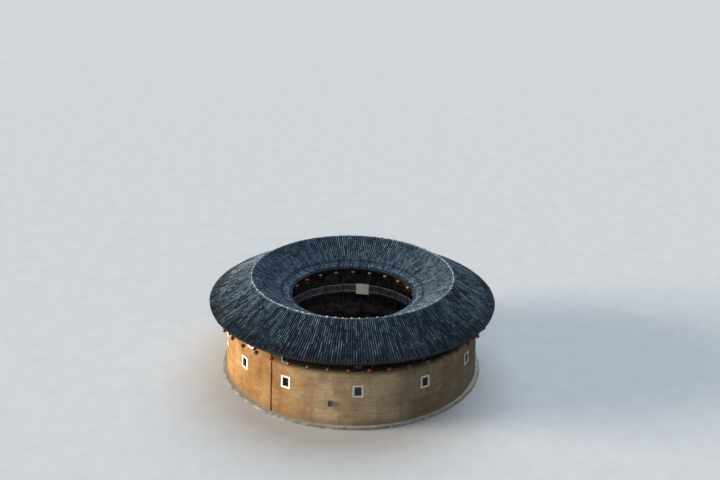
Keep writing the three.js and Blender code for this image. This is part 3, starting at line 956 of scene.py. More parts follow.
# Painted shade: the channel tiles are the same clay, darkened nearly to black for the shadow between the
# arched tiles.
CHANNEL_PAINTED_SHADE = ((0.0, (0.004, 0.010, 0.022)), (0.5, (0.010, 0.020, 0.040)), (1.0, (0.03, 0.052, 0.085)))
INNER_PALER = 1.35
# Painted shade at the front and the back of the ring.
FRONT_PAINTED_SHADE = (0.47, 0.53, 0.58)
BACK_PAINTED_SHADE = (0.78, 0.82, 0.86)
COVER_CLAY = {
    "outer": tile_finish("outer_cover_clay", 0.35, COVER_SHADES, FRONT_PAINTED_SHADE),
    "inner": tile_finish("inner_cover_clay", 0.35, paler(COVER_SHADES, INNER_PALER), back=BACK_PAINTED_SHADE),
}
SHADED_CHANNEL_CLAY = tile_finish("channel_clay_painted_shade", 0.1, CHANNEL_PAINTED_SHADE)

# %% [markdown]
# Both slopes are laid in level courses, each a little over the one below it. The rows of the outer slope
# are the more, because they fan out to the eave. An old roof also sags and swells slowly, so one function
# gives its unevenness to everything that lies on it.

# %% Size of the tiles
ROWS = {"outer": 352, "inner": 264}
COURSE = 0.205
ROOF_PITCH = math.radians(27)
COVER_WIDTH = 0.165
COVER_LENGTH = 0.27
COVER_RISE = 0.058
BED_LIFT = {"outer": 0.035, "inner": 0.05}
BED_STEP = 0.02
BED_SUNK = 0.02
CHANNEL_DEPTH = 0.022
ROOF_SPAN = {"outer": (12.6, 17.71), "inner": (12.4, 7.61)}
ROOF_WAVE = 0.006
ROOF_WAVES = ((7, 0.9, 0.3), (13, 1.7, 2.1), (29, 0.6, 4.4))


def roof_waves(azimuth, radius):
    """Slow unevenness of an old roof, in metres, never below the solid roof."""
    return sum(ROOF_WAVE * (1 + np.sin(k * azimuth + m * radius + phase)) for k, m, phase in ROOF_WAVES)


def courses(side):
    """The radii at which the courses of tiles end, from the ridge down."""
    start, end = ROOF_SPAN[side]
    count = round(abs(end - start) / (COURSE * math.cos(ROOF_PITCH)))
    return np.linspace(start, end, count + 1)


print({side: len(courses(side)) - 1 for side in ROWS}, "courses")

# %% [markdown]
# The hollow tiles of the channels lie in shadow between the arched ones, so only their steps and their
# hollows show, and their finish is painted nearly black for that shadow. They could be single tiles too,
# but one ring with a step at every course, pressed down at every second meridian, looks the same from
# outside with far fewer faces.

# %% Stepped beds of channel tiles
BED_TINT = (0.1, 0.5)


def tile_bed(side):
    """A closed stepped ring, pressed down between the rows to form their channels."""
    ends = courses(side)
    upper = []
    for high, low in pairs(ends):
        upper.append((high, roof_height(side, high) + BED_LIFT[side]))
        upper.append((low, roof_height(side, low) + BED_LIFT[side] + BED_STEP))
    under = [(r, roof_height(side, r) - BED_SUNK) for r in (ends[-1], (ends[0] + ends[-1]) / 2, ends[0])]
    meridians = 2 * ROWS[side]
    made = spun([*upper, *under], meridians)
    spots = points_of(made)
    azimuth, radius = azimuth_of(spots), radius_of(spots)
    number = np.round(azimuth / math.pi * ROWS[side]).astype(int)
    raised = spots[:, 2] > roof_height(side, radius)
    spots[:, 2] += np.where(raised, roof_waves(azimuth, radius) - CHANNEL_DEPTH * (number % 2 == 1), 0)
    set_points(made, spots)
    column = chance.random(meridians)[number % meridians]
    marked(made, "crest", np.ones(len(spots)))
    return marked(made, "tint", BED_TINT[0] + BED_TINT[1] * column * chance.random(len(spots)))


for side in ROWS:
    finished(tile_bed(side), f"{side}_channel_tiles", SHADED_CHANNEL_CLAY, "tiles")

# %% [markdown]
# An arched tile is half of a slightly tapered tube, laid with its wide end over the narrow end of the
# next tile downhill. A tapered rod cut in half has that shape, and it is left solid, because its hollow
# side never shows. The attribute `crest` tells the finish how high on the arch a point is, so that it
# paints a highlight on the crests and shade on the flanks.

# %% One arched tile
TILE_SIDES = 8
TILE_NARROW_R = 0.44


def cover_tile():
    """Half of a tapered round bar, flattened: wide and thick at its lower end, which points to -Y."""
    made = rod(TILE_NARROW_R, 1.0, sides=TILE_SIDES, rotation=LYING, top=0.5)
    upper_half = {"plane_co": (0, 0, 0), "plane_no": (0, 0, 1), "clear_inner": True}
    edited(made, lambda: bpy.ops.mesh.bisect(use_fill=True, **upper_half))
    points = points_of(made)
    set_points(made, points * (COVER_WIDTH, COVER_LENGTH, 2 * COVER_RISE))
    return marked(made, "crest", 2 * points[:, 2])


print("arched tile:", COVER_WIDTH, "m wide and", COVER_LENGTH, "m long")

# %% [markdown]
# Tiles are carried up in small stacks and laid along a row, so a few neighbours often share a shade
# before the next stack begins. A shade drawn for each tile alone looks like sand from afar. These short
# stretches give the fine broken lines of a real roof, longer ones on the outer slope and shorter ones on
# the inner.

# %% Shades of the tiles
SHADES = (1.6, 2.2)
NEW_BATCH = {"outer": 0.27, "inner": 0.5}
STRAY = 0.10
EVENNESS = {"outer": 1.25, "inner": 0.8}


def batches(count, rows, new_batch):
    """Tints of tiles laid a few at a time: a stretch of a row shares a shade, and each tile strays."""
    shade = np.empty((count, rows))
    shade[0] = chance.beta(*SHADES, rows)
    for course in range(1, count):
        fresh = chance.random(rows) < new_batch
        shade[course] = np.where(fresh, chance.beta(*SHADES, rows), shade[course - 1])
    return shade + chance.normal(0, STRAY, shade.shape)


def cover_tints(side):
    """A tint from 0 to 1 for every arched tile of a slope."""
    middling = SHADES[0] / sum(SHADES)
    drawn = batches(len(courses(side)) - 1, ROWS[side], NEW_BATCH[side]).ravel()
    return np.clip(middling + EVENNESS[side] * (drawn - middling), 0, 1)


print("tiles to a shade:", {side: round(1 / share, 1) for side, share in NEW_BATCH.items()})

# %% Rows of arched tiles
HAND_SLACK = (0.006, 0.004, 0.012)
LAID_TILT = 0.03
LAID_SUNK = 0.01
FALL_STEP = 0.05
FAN_START_R = 7.6
FAN_REACH = 10.4
NARROWEST = 0.92
WIDENING = 0.16


def cover_places(side):
    """Where every arched tile of a slope lies: each slips, shifts and twists a little from its place."""
    rows = ROWS[side]
    radius, row = (v.ravel() for v in np.meshgrid(courses(side)[1:], np.arange(rows), indexing="ij"))
    slip, shift, twist = np.array(HAND_SLACK)[:, None] * chance.normal(0, 1, (3, len(row)))
    radius = radius + slip
    azimuth = row * 2 * math.pi / rows + shift / radius
    downhill = 1 if side == "outer" else -1
    fall = (roof_height(side, radius) - roof_height(side, radius - downhill * FALL_STEP)) / FALL_STEP
    pitch = np.arctan(-fall) - LAID_TILT
    centre = radius - downhill * COVER_LENGTH / 2 * np.cos(pitch)
    height = roof_height(side, radius) + BED_LIFT[side] + BED_STEP + roof_waves(azimuth, radius)
    height = height + COVER_LENGTH / 2 * np.sin(pitch) - LAID_SUNK
    spot = np.stack([np.zeros_like(centre), -centre, height], -1)
    turn = twist + (0 if side == "outer" else math.pi)
    width = NARROWEST + WIDENING * (radius - FAN_START_R) / FAN_REACH
    size = np.stack([width, np.ones_like(width), np.ones_like(width)], -1)
    return places(azimuth, spot, downhill * pitch, turn, size)


for side in ROWS:
    where = cover_places(side)
    tiles = copied(f"{side}_rows", cover_tile(), where, cover_tints(side))
    finished(tiles, f"{side}_cover_tiles", COVER_CLAY[side], "tiles")

# %% [markdown]
# ## Timber
#
# All timber is old fir, dark with smoke and age, with a streaky grain along each piece. A picture of wood
# would have to be laid on every board. A noise stretched in the ring's own coordinates follows the pieces
# wherever they stand, and the number of each board shifts it, so that the grain stops at the joints.

# %% Timber finish
GRAIN = {"ring": (0.9, 16, 16), "out": (16, 0.9, 16), "upright": (16, 16, 0.9)}
BLEACHED_FIR = (0.20, 0.21, 0.23)


def timber_finish(name, dark, light, along, roughness=0.75, bleach_and_sheen=0.0):
    """Old fir with its grain along the ring, out from the axis, or upright."""
    f = Finish(name, roughness=roughness, shine=0.15)
    tint = f.attribute("tint")
    stretched = f.stretched(f.polar(), *GRAIN[along])
    shift = f.vector(tint, tint, tint)
    shifted = f.node("ShaderNodeVectorMath", {0: stretched, 1: shift}, operation="ADD").outputs[0]
    grain = f.noise(shifted, scale=1.0, detail=6, roughness=0.65)
    colour = f.patched(dark, light, grain, (0.32, 0.0), (0.66, 1.0))
    colour = f.shaded(colour, tint, (0.0, 0.6), (1.0, 1.0))
    grey = f.ramp(f.noise(f.place, scale=1.3, detail=5), (0.42, 0.0), (0.62, 1.0))
    colour = f.mix(f.math("MULTIPLY", grey, bleach_and_sheen), colour, BLEACHED_FIR)
    f.bump(grain, strength=0.35, distance=0.006)
    return f.done(colour)


OLD_FIR = ((0.013, 0.008, 0.008), (0.048, 0.032, 0.028))
# Painted shade: the timber under the eaves and the floors is darkened nearly to black.
UNDERSIDE_PAINTED_SHADE = ((0.008, 0.006, 0.005), (0.030, 0.021, 0.016))
FIR_RING = timber_finish("fir_along_ring", *OLD_FIR, "ring", bleach_and_sheen=0.22)
FIR_OUT = timber_finish("fir_outwards", *OLD_FIR, "out", bleach_and_sheen=0.2)
FIR_UPRIGHT = timber_finish("fir_upright", *OLD_FIR, "upright", bleach_and_sheen=0.18)
FIR_PAINTED_SHADE = timber_finish("underside_fir_painted_shade", *UNDERSIDE_PAINTED_SHADE, "out")

# %% [markdown]
# ## Eaves
#
# The solids of the roof stay in view from below, as the boarding under the tiles, so they only get a
# finish: fir painted nearly black, as painted shade under the eaves, which the gallery floors share too.
# Boards close both eaves, and square rafters carry them, in the same painted shade. Boards round a ring
# could be bent one by one, but a spun strip has the same edge, and nobody sees its joints from below.

# %% Boarding, eave boards and rafters
ROOF_NODES = [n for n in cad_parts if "_roof_" in n]
for name in [*ROOF_NODES, "outer_eave_frame", "second_floor", "third_floor"]:
    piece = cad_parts[name]
    piece.data.materials.clear()
    piece.data.materials.append(FIR_PAINTED_SHADE)

EAVE_STEPS = 176
EAVE_BOARDS = {"outer": (17.652, 17.68, 9.135, 9.30), "inner": (7.598, 7.628, 9.385, 9.56)}
for side, (near, far, low, high) in EAVE_BOARDS.items():
    ring = spun([(near, low), (far, low), (far, high), (near, high)], EAVE_STEPS)
    finished(ring, f"{side}_eave_board", FIR_PAINTED_SHADE, "timber")

RAFTERS = {"outer": (132, 15.9, 17.6, 0.4955), "inner": (88, 7.72, 9.1, 0.481)}
RAFTER_HALF = 0.04
RAFTER_Z = (-0.06, 0.04)
ROOF_T = 0.15
RAFTER_DROP = 0.055
for side, (count, near, far, fall) in RAFTERS.items():
    tilt = math.atan(fall) * (1 if side == "outer" else -1)
    half = (far - near) / math.cos(tilt) / 2
    middle = (near + far) / 2
    rafter = block((-RAFTER_HALF, RAFTER_HALF), (-half, half), RAFTER_Z, bevel=0.008)
    height = roof_height(side, middle) - ROOF_T - RAFTER_DROP
    azimuths = (np.arange(count) + 0.5) * 2 * math.pi / count
    where = places(azimuths, (0, -middle, height), pitch=tilt)
    finished(copied(side, rafter, where), f"{side}_rafters", FIR_PAINTED_SHADE, "timber")

# %% [markdown]
# Mortar shows in several places and states: bleached lumps on the ridge, its dusty cap, the weathered bed
# under it, and the plugs that close the arched tiles at the ends of the rows, painted dark as shade. It is
# one material, so one function makes all of them, from a pale and a dirty colour.


# %% Mortar finish
def mortar_finish(name, pale, dirty):
    """Lime mortar, dirty in patches, with a sandy grain."""
    f = Finish(name, roughness=0.92)
    spots = f.noise(f.place, scale=2.6, detail=6, roughness=0.7)
    colour = f.patched(dirty, pale, spots, (0.40, 0.0), (0.60, 1.0))
    fine = f.noise(f.place, scale=30, detail=4)
    colour = f.shaded(colour, fine, (0.3, 0.75), (0.6, 1.0))
    f.bump(fine, strength=0.5, distance=0.01)
    return f.done(colour)


LIME = mortar_finish("lime_mortar", (0.46, 0.52, 0.58), (0.16, 0.19, 0.23))
CAP_LIME = mortar_finish("dusty_mortar", (0.30, 0.34, 0.38), (0.08, 0.10, 0.13))
# Painted shade: the plugs at the ends of the rows are darkened.
PLUG_MORTAR_PAINTED_SHADE = mortar_finish("plug_mortar_painted_shade", (0.050, 0.060, 0.078), (0.012, 0.017, 0.026))
RIDGE_GREY = mortar_finish("weathered_mortar", (0.13, 0.155, 0.19), (0.022, 0.030, 0.042))

# %% Plugs at the ends of the rows
PLUG = (0.12, 0.05, 0.085)
PLUG_PROUD = 0.004
for side, downhill in (("outer", 1), ("inner", -1)):
    end = ROOF_SPAN[side][1] + downhill * PLUG_PROUD
    plug = rod(0.5, 1.0, sides=TILE_SIDES, rotation=LYING)
    set_points(plug, points_of(plug) * PLUG)
    azimuths = shares(ROWS[side])
    height = roof_height(side, end) + BED_LIFT[side] + BED_STEP + roof_waves(azimuths, end) + PLUG_PROUD
    spot = np.stack([0 * azimuths, 0 * azimuths - end, height], -1)
    finished(copied(side, plug, places(azimuths, spot)), f"{side}_row_ends", PLUG_MORTAR_PAINTED_SHADE, "mortar")

# %% [markdown]
# ## Ridge
#
# The ridge is a low wall of tiles bedded in mortar, capped with a round of mortar. Lumps of mortar and
# half bricks hold it down every metre or so, and their bleached tops are what glints along the ridge from
# afar. The bed and the cap are spun rings, and the lumps are a few dozen faces each, turned and sized by
# chance.

# %% Ridge
RIDGE_STEPS = 264
BED_SIDE = [(0.15, 12.10), (0.11, 12.21), (0.05, 12.27)]
bed_outline = [(RIDGE_R + x, z) for x, z in BED_SIDE] + [(RIDGE_R - x, z) for x, z in reversed(BED_SIDE)]
finished(spun(bed_outline, RIDGE_STEPS), "ridge_bed", RIDGE_GREY, "mortar", "ridge_cap")

CAP_HALF = 0.034
CAP_RISE = 0.045
CAP_Z = 12.285
CAP_ANGLES = np.radians([110, 60, 20, -20, -60, -110])
CAP_WAVES = ((0.008, 90, 0), (0.006, 37, 1))
cap_outline = [(RIDGE_R + CAP_HALF * math.sin(a), CAP_Z + CAP_RISE * math.cos(a)) for a in CAP_ANGLES]
ridge_round = spun(cap_outline, RIDGE_STEPS)
spots = points_of(ridge_round)
spots[:, 2] += sum(rise * np.sin(count * azimuth_of(spots) + phase) for rise, count, phase in CAP_WAVES)
set_points(ridge_round, spots)
finished(ridge_round, "ridge_round", CAP_LIME, "mortar")

# %% Lumps along the ridge
RIDGE_LUMPS = 82
LUMP = (0.24, 0.14, 0.10)
LUMP_Z = 12.325
LUMP_SQUARENESS = 0.7
LUMP_SIZES = (0.7, 1.25)
LUMP_STRAY = 0.25
LUMP_TURN = 0.4


def lump():
    """A worn half brick in mortar: a ball pushed towards the shape of a block."""
    bpy.ops.object.select_all(action="DESELECT")
    bpy.ops.mesh.primitive_ico_sphere_add(subdivisions=2, radius=0.5)
    made = bpy.context.object
    points = points_of(made)
    set_points(made, np.sign(points) * abs(points) ** LUMP_SQUARENESS * LUMP)
    return made


spread = np.arange(RIDGE_LUMPS) + chance.uniform(-LUMP_STRAY, LUMP_STRAY, RIDGE_LUMPS)
azimuths = spread * 2 * math.pi / RIDGE_LUMPS
sizes = chance.uniform(*LUMP_SIZES, (RIDGE_LUMPS, 3))
turns = chance.uniform(-LUMP_TURN, LUMP_TURN, RIDGE_LUMPS)
where = places(azimuths, (0, -RIDGE_R, LUMP_Z), turn=turns, size=sizes)
finished(copied("lumps", lump(), where), "ridge_lumps", LIME, "mortar")

# %% [markdown]
# ## Windows of the earth wall
#
# Each opening holds a small timber window, set a hand's breadth or two back from the face: a frame,
# upright bars against thieves, and dusty panes behind them. The opening widens inwards, so the frame is
# sized for the radius where it stands and reaches a little into the earth all round. Separate boards are
# used, and not one cut panel, because the bars throw shadows on the panes.

# %% Pane finish
# Dust, and a painted blue sheen: the pale end of the panes is bluish.
DUST_AND_SHEEN_GLASS = ((0.35, (0.010, 0.016, 0.026)), (0.7, (0.05, 0.068, 0.09)))
DUSTY_SHEEN = ((0.35, 0.15), (0.7, 0.6))


def pane_finish():
    """Dark glass, duller where dust lies on it, and paler and bluer there: dust and a painted sheen."""
    f = Finish("dusty_panes", roughness=0.3)
    dust = f.noise(f.place, scale=2.5, detail=5)
    colour = f.ramp(dust, *DUST_AND_SHEEN_GLASS)
    f.bump(f.noise(f.place, scale=9), strength=0.1, distance=0.004)
    return f.done(colour, f.ramp(dust, *DUSTY_SHEEN))


PANES = pane_finish()

# %% Frames, bars and panes
WINDOW_SETBACK = 0.25
WINDOW_BARS = 5
WINDOW_BURIED = 0.02
FRAME_BAR = 0.07
FRAME_D = 0.06
BAR_HALF = 0.014
BAR_Y = (0.012, 0.04)
MEETING_HALF = 0.02
MEETING_Y = (0.01, FRAME_D - 0.02)
PANE_Y = (-0.012, -0.004)
PANE_CLEAR = 0.01


def frame_of(half_w, bottom, top, near, far):
    """Two upright and two level boards round an opening."""
    return [
        (-half_w, -half_w + FRAME_BAR, near, far, bottom, top),
        (half_w - FRAME_BAR, half_w, near, far, bottom, top),
        (-half_w, half_w, near, far, bottom, bottom + FRAME_BAR),
        (-half_w, half_w, near, far, top - FRAME_BAR, top),
    ]


def wall_window(z, height):
    """The boards and the panes of one window, as spans at azimuth zero."""
    middle = z + height / 2
    radius = wall_radius(middle) - WINDOW_SETBACK
    half_w = opening_factor(radius) * WINDOW_W / 2 + WINDOW_BURIED
    half_h = opening_factor(radius) * height / 2 + WINDOW_BURIED
    bottom, top = middle - half_h, middle + half_h
    near, far = -radius, -radius + FRAME_D
    frame_spans = frame_of(half_w, bottom, top, near, far)
    meeting_y = (near + MEETING_Y[0], near + MEETING_Y[1])
    frame_spans.append((-half_w, half_w, *meeting_y, middle - MEETING_HALF, middle + MEETING_HALF))
    for x in np.linspace(-half_w + FRAME_BAR, half_w - FRAME_BAR, WINDOW_BARS + 2)[1:-1]:
        frame_spans.append((x - BAR_HALF, x + BAR_HALF, near + BAR_Y[0], near + BAR_Y[1], bottom, top))
    pane = (-half_w, half_w, far + PANE_Y[0], far + PANE_Y[1])
    return frame_spans, [(*pane, bottom, middle - PANE_CLEAR), (*pane, middle + PANE_CLEAR, top)]


bars, panes = [], []
for z, height, azimuths in WINDOW_ROWS:
    frame_spans, pane_spans = wall_window(z, height)
    bars.append(boards("bars", frame_spans, azimuths))
    panes.append(boards("panes", pane_spans, azimuths))
finished(joined(bars), "wall_window_frames", FIR_UPRIGHT, "timber")
finished(joined(panes), "wall_window_panes", PANES, "pipe")

# %% [markdown]
# ## Stone
#
# The earth wall stands on river stones, laid in two low courses, with a pale mortared ledge on top. The
# yard side has long kerb stones and paving. A scanned boulder would be too heavy to copy hundreds of
# times. A bevelled block pushed about at its corners is a stone of 44 triangles, and the footing and the
# veranda, which show between and behind the stones, get a finish of their own.

# %% Stone finishes
SLABS = {
    "Scale": 1.0,
    "Brick Width": 0.9,
    "Row Height": 0.5,
    "Mortar Size": 0.012,
    "Color1": (0.72, 0.72, 0.72, 1),
    "Color2": (1, 1, 1, 1),
    "Mortar": (0.25, 0.25, 0.24, 1),
}


def stone_finish(name, dark, light, paved=False):
    """Grey stone, blotched and speckled, with a shade of its own for each stone, or laid as paving slabs."""
    f = Finish(name, roughness=0.85, shine=0.15)
    blotch = f.noise(f.place, scale=1.7, detail=5)
    colour = f.patched(dark, light, blotch, (0.36, 0.0), (0.62, 1.0))
    colour = f.shaded(colour, f.attribute("tint"), (0.0, 0.62), (1.0, 1.0))
    speckle = f.noise(f.place, scale=34, detail=4)
    colour = f.shaded(colour, speckle, (0.3, 0.72), (0.6, 1.0))
    if paved:
        slabs = f.rows(f.polar(), SLABS)
        colour = f.times(colour, slabs["Color"])
        f.grooves(slabs, strength=0.5, distance=0.01)
    f.bump(blotch, strength=0.3, distance=0.03)
    f.bump(speckle, strength=0.4, distance=0.008)
    return f.done(colour)


FIELD_STONE = stone_finish("river_stone", (0.17, 0.16, 0.145), (0.42, 0.40, 0.365))
CUT_STONE = stone_finish("cut_stone", (0.22, 0.21, 0.19), (0.38, 0.365, 0.335))
PAVING = stone_finish("paving", (0.040, 0.036, 0.032), (0.105, 0.095, 0.085), paved=True)
LEDGE = stone_finish("mortared_ledge", (0.55, 0.52, 0.45), (0.78, 0.74, 0.66))
for name, finish in (("stone_footing", LEDGE), ("stone_veranda", PAVING)):
    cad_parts[name].data.materials.clear()
    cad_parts[name].data.materials.append(finish)

# %% River stones of the footing
STONES = 372
COURSES_Z = (0.075, 0.222)
FOOTING_FACE_R = 16.33
STONES_BACK = (0.055, 0.03)
SMALLEST_STONE = (0.24, 0.14, 0.135)
LARGEST_STONE = (0.29, 0.19, 0.155)
GATE_CLEAR = 0.14
STONE_BEVEL = 0.17
CORNER_STRAY = 0.018
STONE_STRAY = 0.12
STONE_TURN = 0.05


def field_stone():
    """A block with wide bevels and corners pushed about, one unit each way."""
    made = block(UNIT, UNIT, UNIT, bevel=STONE_BEVEL)
    points = points_of(made)
    set_points(made, points + chance.normal(0, CORNER_STRAY, points.shape))
    return made


def stone_course(course, z):
    """Where the stones of one course lie; the upper course stops at the gate."""
    spread = np.arange(STONES) + 0.5 * course + chance.uniform(-STONE_STRAY, STONE_STRAY, STONES)
    azimuths = spread * 2 * math.pi / STONES
    from_gate = abs(azimuths % (2 * math.pi) - GATE_AZIMUTH) * FOOTING_FACE_R
    azimuths = azimuths[(from_gate > GATE_HALF + GATE_CLEAR) | (course == 0)]
    size = chance.uniform(SMALLEST_STONE, LARGEST_STONE, (len(azimuths), 3))
    back = -FOOTING_FACE_R + STONES_BACK[0] + STONES_BACK[1] * course
    turns = chance.normal(0, STONE_TURN, len(azimuths))
    return places(azimuths, (0, back, z), turn=turns, size=size)


where = np.concatenate([stone_course(course, z) for course, z in enumerate(COURSES_Z)])
finished(copied("stones", field_stone(), where), "footing_stones", FIELD_STONE, "stone")

# %% Kerb stones of the yard
KERBS = 66
KERB_R = 8.05
KERB_D = 0.32
KERB_JOINT = 0.012
KERB_PROUD = (0.008, 0.004)
KERB_BEVEL = 0.018
kerb_half = (2 * math.pi * KERB_R / KERBS - KERB_JOINT) / 2
kerb_y = (-KERB_R - KERB_D, -KERB_R + KERB_PROUD[0])
kerb_z = (0.0, VERANDA_Z + KERB_PROUD[1])
kerb = block((-kerb_half, kerb_half), kerb_y, kerb_z, bevel=KERB_BEVEL)
finished(copied("kerb", kerb, places(shares(KERBS))), "yard_kerb", CUT_STONE, "stone")

# %% [markdown]
# ## Gate
#
# One gate leads in, on the far side from the viewer: a doorway of dressed granite, a sill, a lintel and
# two jambs of five stones each. A single frame with the joints drawn on would be lighter, but here each
# stone is its own bevelled block, so that light catches the joints.

# %% Stone frame
GATE_FACE_R = 15.92
GATE_DEPTH = 0.52
DOORWAY_HALF = 0.75
GATE_SILL_Z = 0.32
DOORWAY_TOP_Z = 2.72
JAMB_STONES = 5


def carpentry(name, spans, azimuths=BAY_MIDDLES, bevel=0.008):
    """Large members at their real size, each with its edges taken off, copied together to every azimuth."""
    template = joined([block(span[0:2], span[2:4], span[4:6], bevel) for span in spans])
    return copied(name, template, places(np.asarray(azimuths)))


def gate_stone(x0, x1, low, high):
    """One stone of the frame, as deep as the frame."""
    return (x0, x1, -GATE_FACE_R, -GATE_FACE_R + GATE_DEPTH, low, high)


gate_spans = [
    gate_stone(-GATE_HALF, GATE_HALF, VERANDA_Z, GATE_SILL_Z),
    gate_stone(-GATE_HALF, GATE_HALF, DOORWAY_TOP_Z, GATE_TOP_Z),
]
for low, high in pairs(np.linspace(GATE_SILL_Z, DOORWAY_TOP_Z, JAMB_STONES + 1)):
    for x0, x1 in ((-GATE_HALF, -DOORWAY_HALF), (DOORWAY_HALF, GATE_HALF)):
        gate_spans.append(gate_stone(x0, x1, low, high))
stones = carpentry("gate_stones", gate_spans, [GATE_AZIMUTH], bevel=0.012)
finished(stones, "gate_stones", CUT_STONE, "stone", "gate_stone_frame")

# %% [markdown]
# The two plank leaves stand open in the passage. Their outer faces turn towards it, with rows of domed
# studs and ring pulls of old brass, and ledges hold the planks together on the back. The studs are small
# balls flattened to half their depth and sunk in the planks, which is less work than turning a dome.


# %% Metal finish
def metal_finish(name, dark, light, roughness, metallic):
    """Worn metal or paint on metal, dark in patches."""
    f = Finish(name, roughness=roughness, metallic=metallic)
    worn = f.noise(f.place, scale=7, detail=6, roughness=0.7)
    f.bump(worn, strength=0.2, distance=0.003)
    return f.done(f.patched(dark, light, worn, (0.38, 0.0), (0.62, 1.0)))


BRASS = metal_finish("old_brass", (0.10, 0.07, 0.03), (0.38, 0.27, 0.11), 0.5, 0.9)
IRON = metal_finish("painted_iron", (0.018, 0.014, 0.015), (0.050, 0.040, 0.042), 0.6, 0.0)
RED_IRON = metal_finish("red_brown_iron", (0.11, 0.045, 0.030), (0.24, 0.105, 0.072), 0.6, 0.0)

# %% Gate leaves
LEAF_T = 0.06
LEAF_Y = (-15.3997, -14.65)
LEAF_Z = (0.2, 2.72)
LEAF_PLANKS = 5
PLANK_GAP = 0.003
PLANK_FACE = 0.004
PLANK_BACK = 0.022
LEDGE_T = 0.024
LEDGE_H = 0.12
LEDGES_Z = (0.5, 1.45, 2.35)
LEDGE_INSET = 0.02
planks = list(pairs(np.linspace(*LEAF_Y, LEAF_PLANKS + 1)))
leaf_spans = []
for side in (-1, 1):
    inner, outer = side * DOORWAY_HALF, side * (DOORWAY_HALF + LEAF_T)
    for y0, y1 in planks:
        plank_x = (inner + side * PLANK_FACE, outer - side * PLANK_BACK)
        leaf_spans.append((*plank_x, y0 + PLANK_GAP, y1 - PLANK_GAP, *LEAF_Z))
    for z in LEDGES_Z:
        ledge_x = (outer - side * LEDGE_T, outer)
        ledge_y = (LEAF_Y[0] + LEDGE_INSET, LEAF_Y[1] - LEDGE_INSET)
        leaf_spans.append((*ledge_x, *ledge_y, z, z + LEDGE_H))
leaves = boards("leaves", leaf_spans, [GATE_AZIMUTH])
finished(leaves, "gate_leaves", FIR_UPRIGHT, "timber", "gate_leaf_left", "gate_leaf_right")

# %% Studs and ring pulls
STUD_R = 0.022
STUD_FLAT = (0.5, 1, 1)
STUDS_Z = np.linspace(0.45, 2.5, 8)
PULL_Y = LEAF_Y[1] - 0.12
PLATE_Z = 1.3
PLATE_R = 0.07
PLATE_RIM_R = 0.055
PLATE_T = 0.02
PLATE_SIDES = 16
PULL_Z = 1.25
PULL_R = 0.055
PULL_WIRE_R = 0.008
PULL_STEPS = 20
PULL_WIRE_SIDES = 8
PULL_OUT = 0.018
FACING_X = (0, math.pi / 2, 0)
bpy.ops.object.select_all(action="DESELECT")
bpy.ops.mesh.primitive_ico_sphere_add(subdivisions=2, radius=STUD_R)
stud = bpy.context.object
spots = [
    (side * DOORWAY_HALF, (y0 + y1) / 2, z) for side in (-1, 1) for y0, y1 in planks for z in STUDS_Z
]
studs = copied("studs", stud, places(np.full(len(spots), GATE_AZIMUTH), spots, size=STUD_FLAT))
pulls = []
for side in (-1, 1):
    plate_spot = (side * DOORWAY_HALF, PULL_Y, PLATE_Z)
    pulls.append(rod(PLATE_R, PLATE_T, PLATE_SIDES, plate_spot, FACING_X, top=PLATE_RIM_R))
    bpy.ops.object.select_all(action="DESELECT")
    bpy.ops.mesh.primitive_torus_add(
        major_radius=PULL_R,
        minor_radius=PULL_WIRE_R,
        major_segments=PULL_STEPS,
        minor_segments=PULL_WIRE_SIDES,
        location=(side * (DOORWAY_HALF - PULL_OUT), PULL_Y, PULL_Z),
        rotation=FACING_X,
    )
    pulls.append(settled(bpy.context.object))
pulls = copied("pulls", joined(pulls), places(np.array([GATE_AZIMUTH])))
finished(joined([studs, pulls]), "gate_fittings", BRASS, "pipe")

# %% [markdown]
# ## Galleries
#
# On both upper floors an edge beam runs from post to post, with a balustrade of upright boards between a
# bottom rail and a top rail. Those of the third storey get more light and rain, so they are greyer, with
# paler, hand-worn rails. Every bay is straight, as carpenters build it, so the pieces are modelled once
# in a bay and copied to all 22, where spun rings would make the beams bend.

# %% Finishes of the galleries
RUBBED = ((0.12, 0.12, 0.125), (0.34, 0.33, 0.32))
RUBBED_PALE = ((0.22, 0.21, 0.21), (0.56, 0.53, 0.49))
RAINED_ON = ((0.030, 0.032, 0.052), (0.105, 0.110, 0.155))
RAIL_FIR = timber_finish("handrail_fir", *RUBBED, "ring", roughness=0.6)
WORN_RAIL = timber_finish("worn_rail_fir", *RUBBED_PALE, "ring", roughness=0.6)
GREY_FIR = timber_finish("weathered_fir", *RAINED_ON, "upright", bleach_and_sheen=0.3)

# %% Beams and rails
GALLERY_Y = -GALLERY_R * math.cos(BAY / 2)
GALLERY_HALF = GALLERY_R * math.sin(BAY / 2)
GALLERIES = {"second": (FLOORS_Z[0], FIR_RING, FIR_UPRIGHT), "third": (FLOORS_Z[1], WORN_RAIL, GREY_FIR)}
EDGE_BEAM = 0.2
FLOOR_D = 0.21
EAVE_PLATE = 0.16
MID_RAIL_Z = (0.5, 0.56)
MID_RAIL_T = 0.03
MID_RAIL_BACK = 0.034
RAIL_H = 1.0
RAIL_Z = (0.925, RAIL_H)
RAIL_T = 0.085
FOOT_RAIL_Z = (0.005, 0.075)
FOOT_RAIL_T = 0.07
BAY_LAP = 0.012


def along_bay(low, high, thick, offset=0.0, extra=BAY_LAP):
    """A straight member from post to post, given by its levels and thickness."""
    reach, y = GALLERY_HALF + extra, GALLERY_Y + offset
    return (-reach, reach, y - thick / 2, y + thick / 2, low, high)


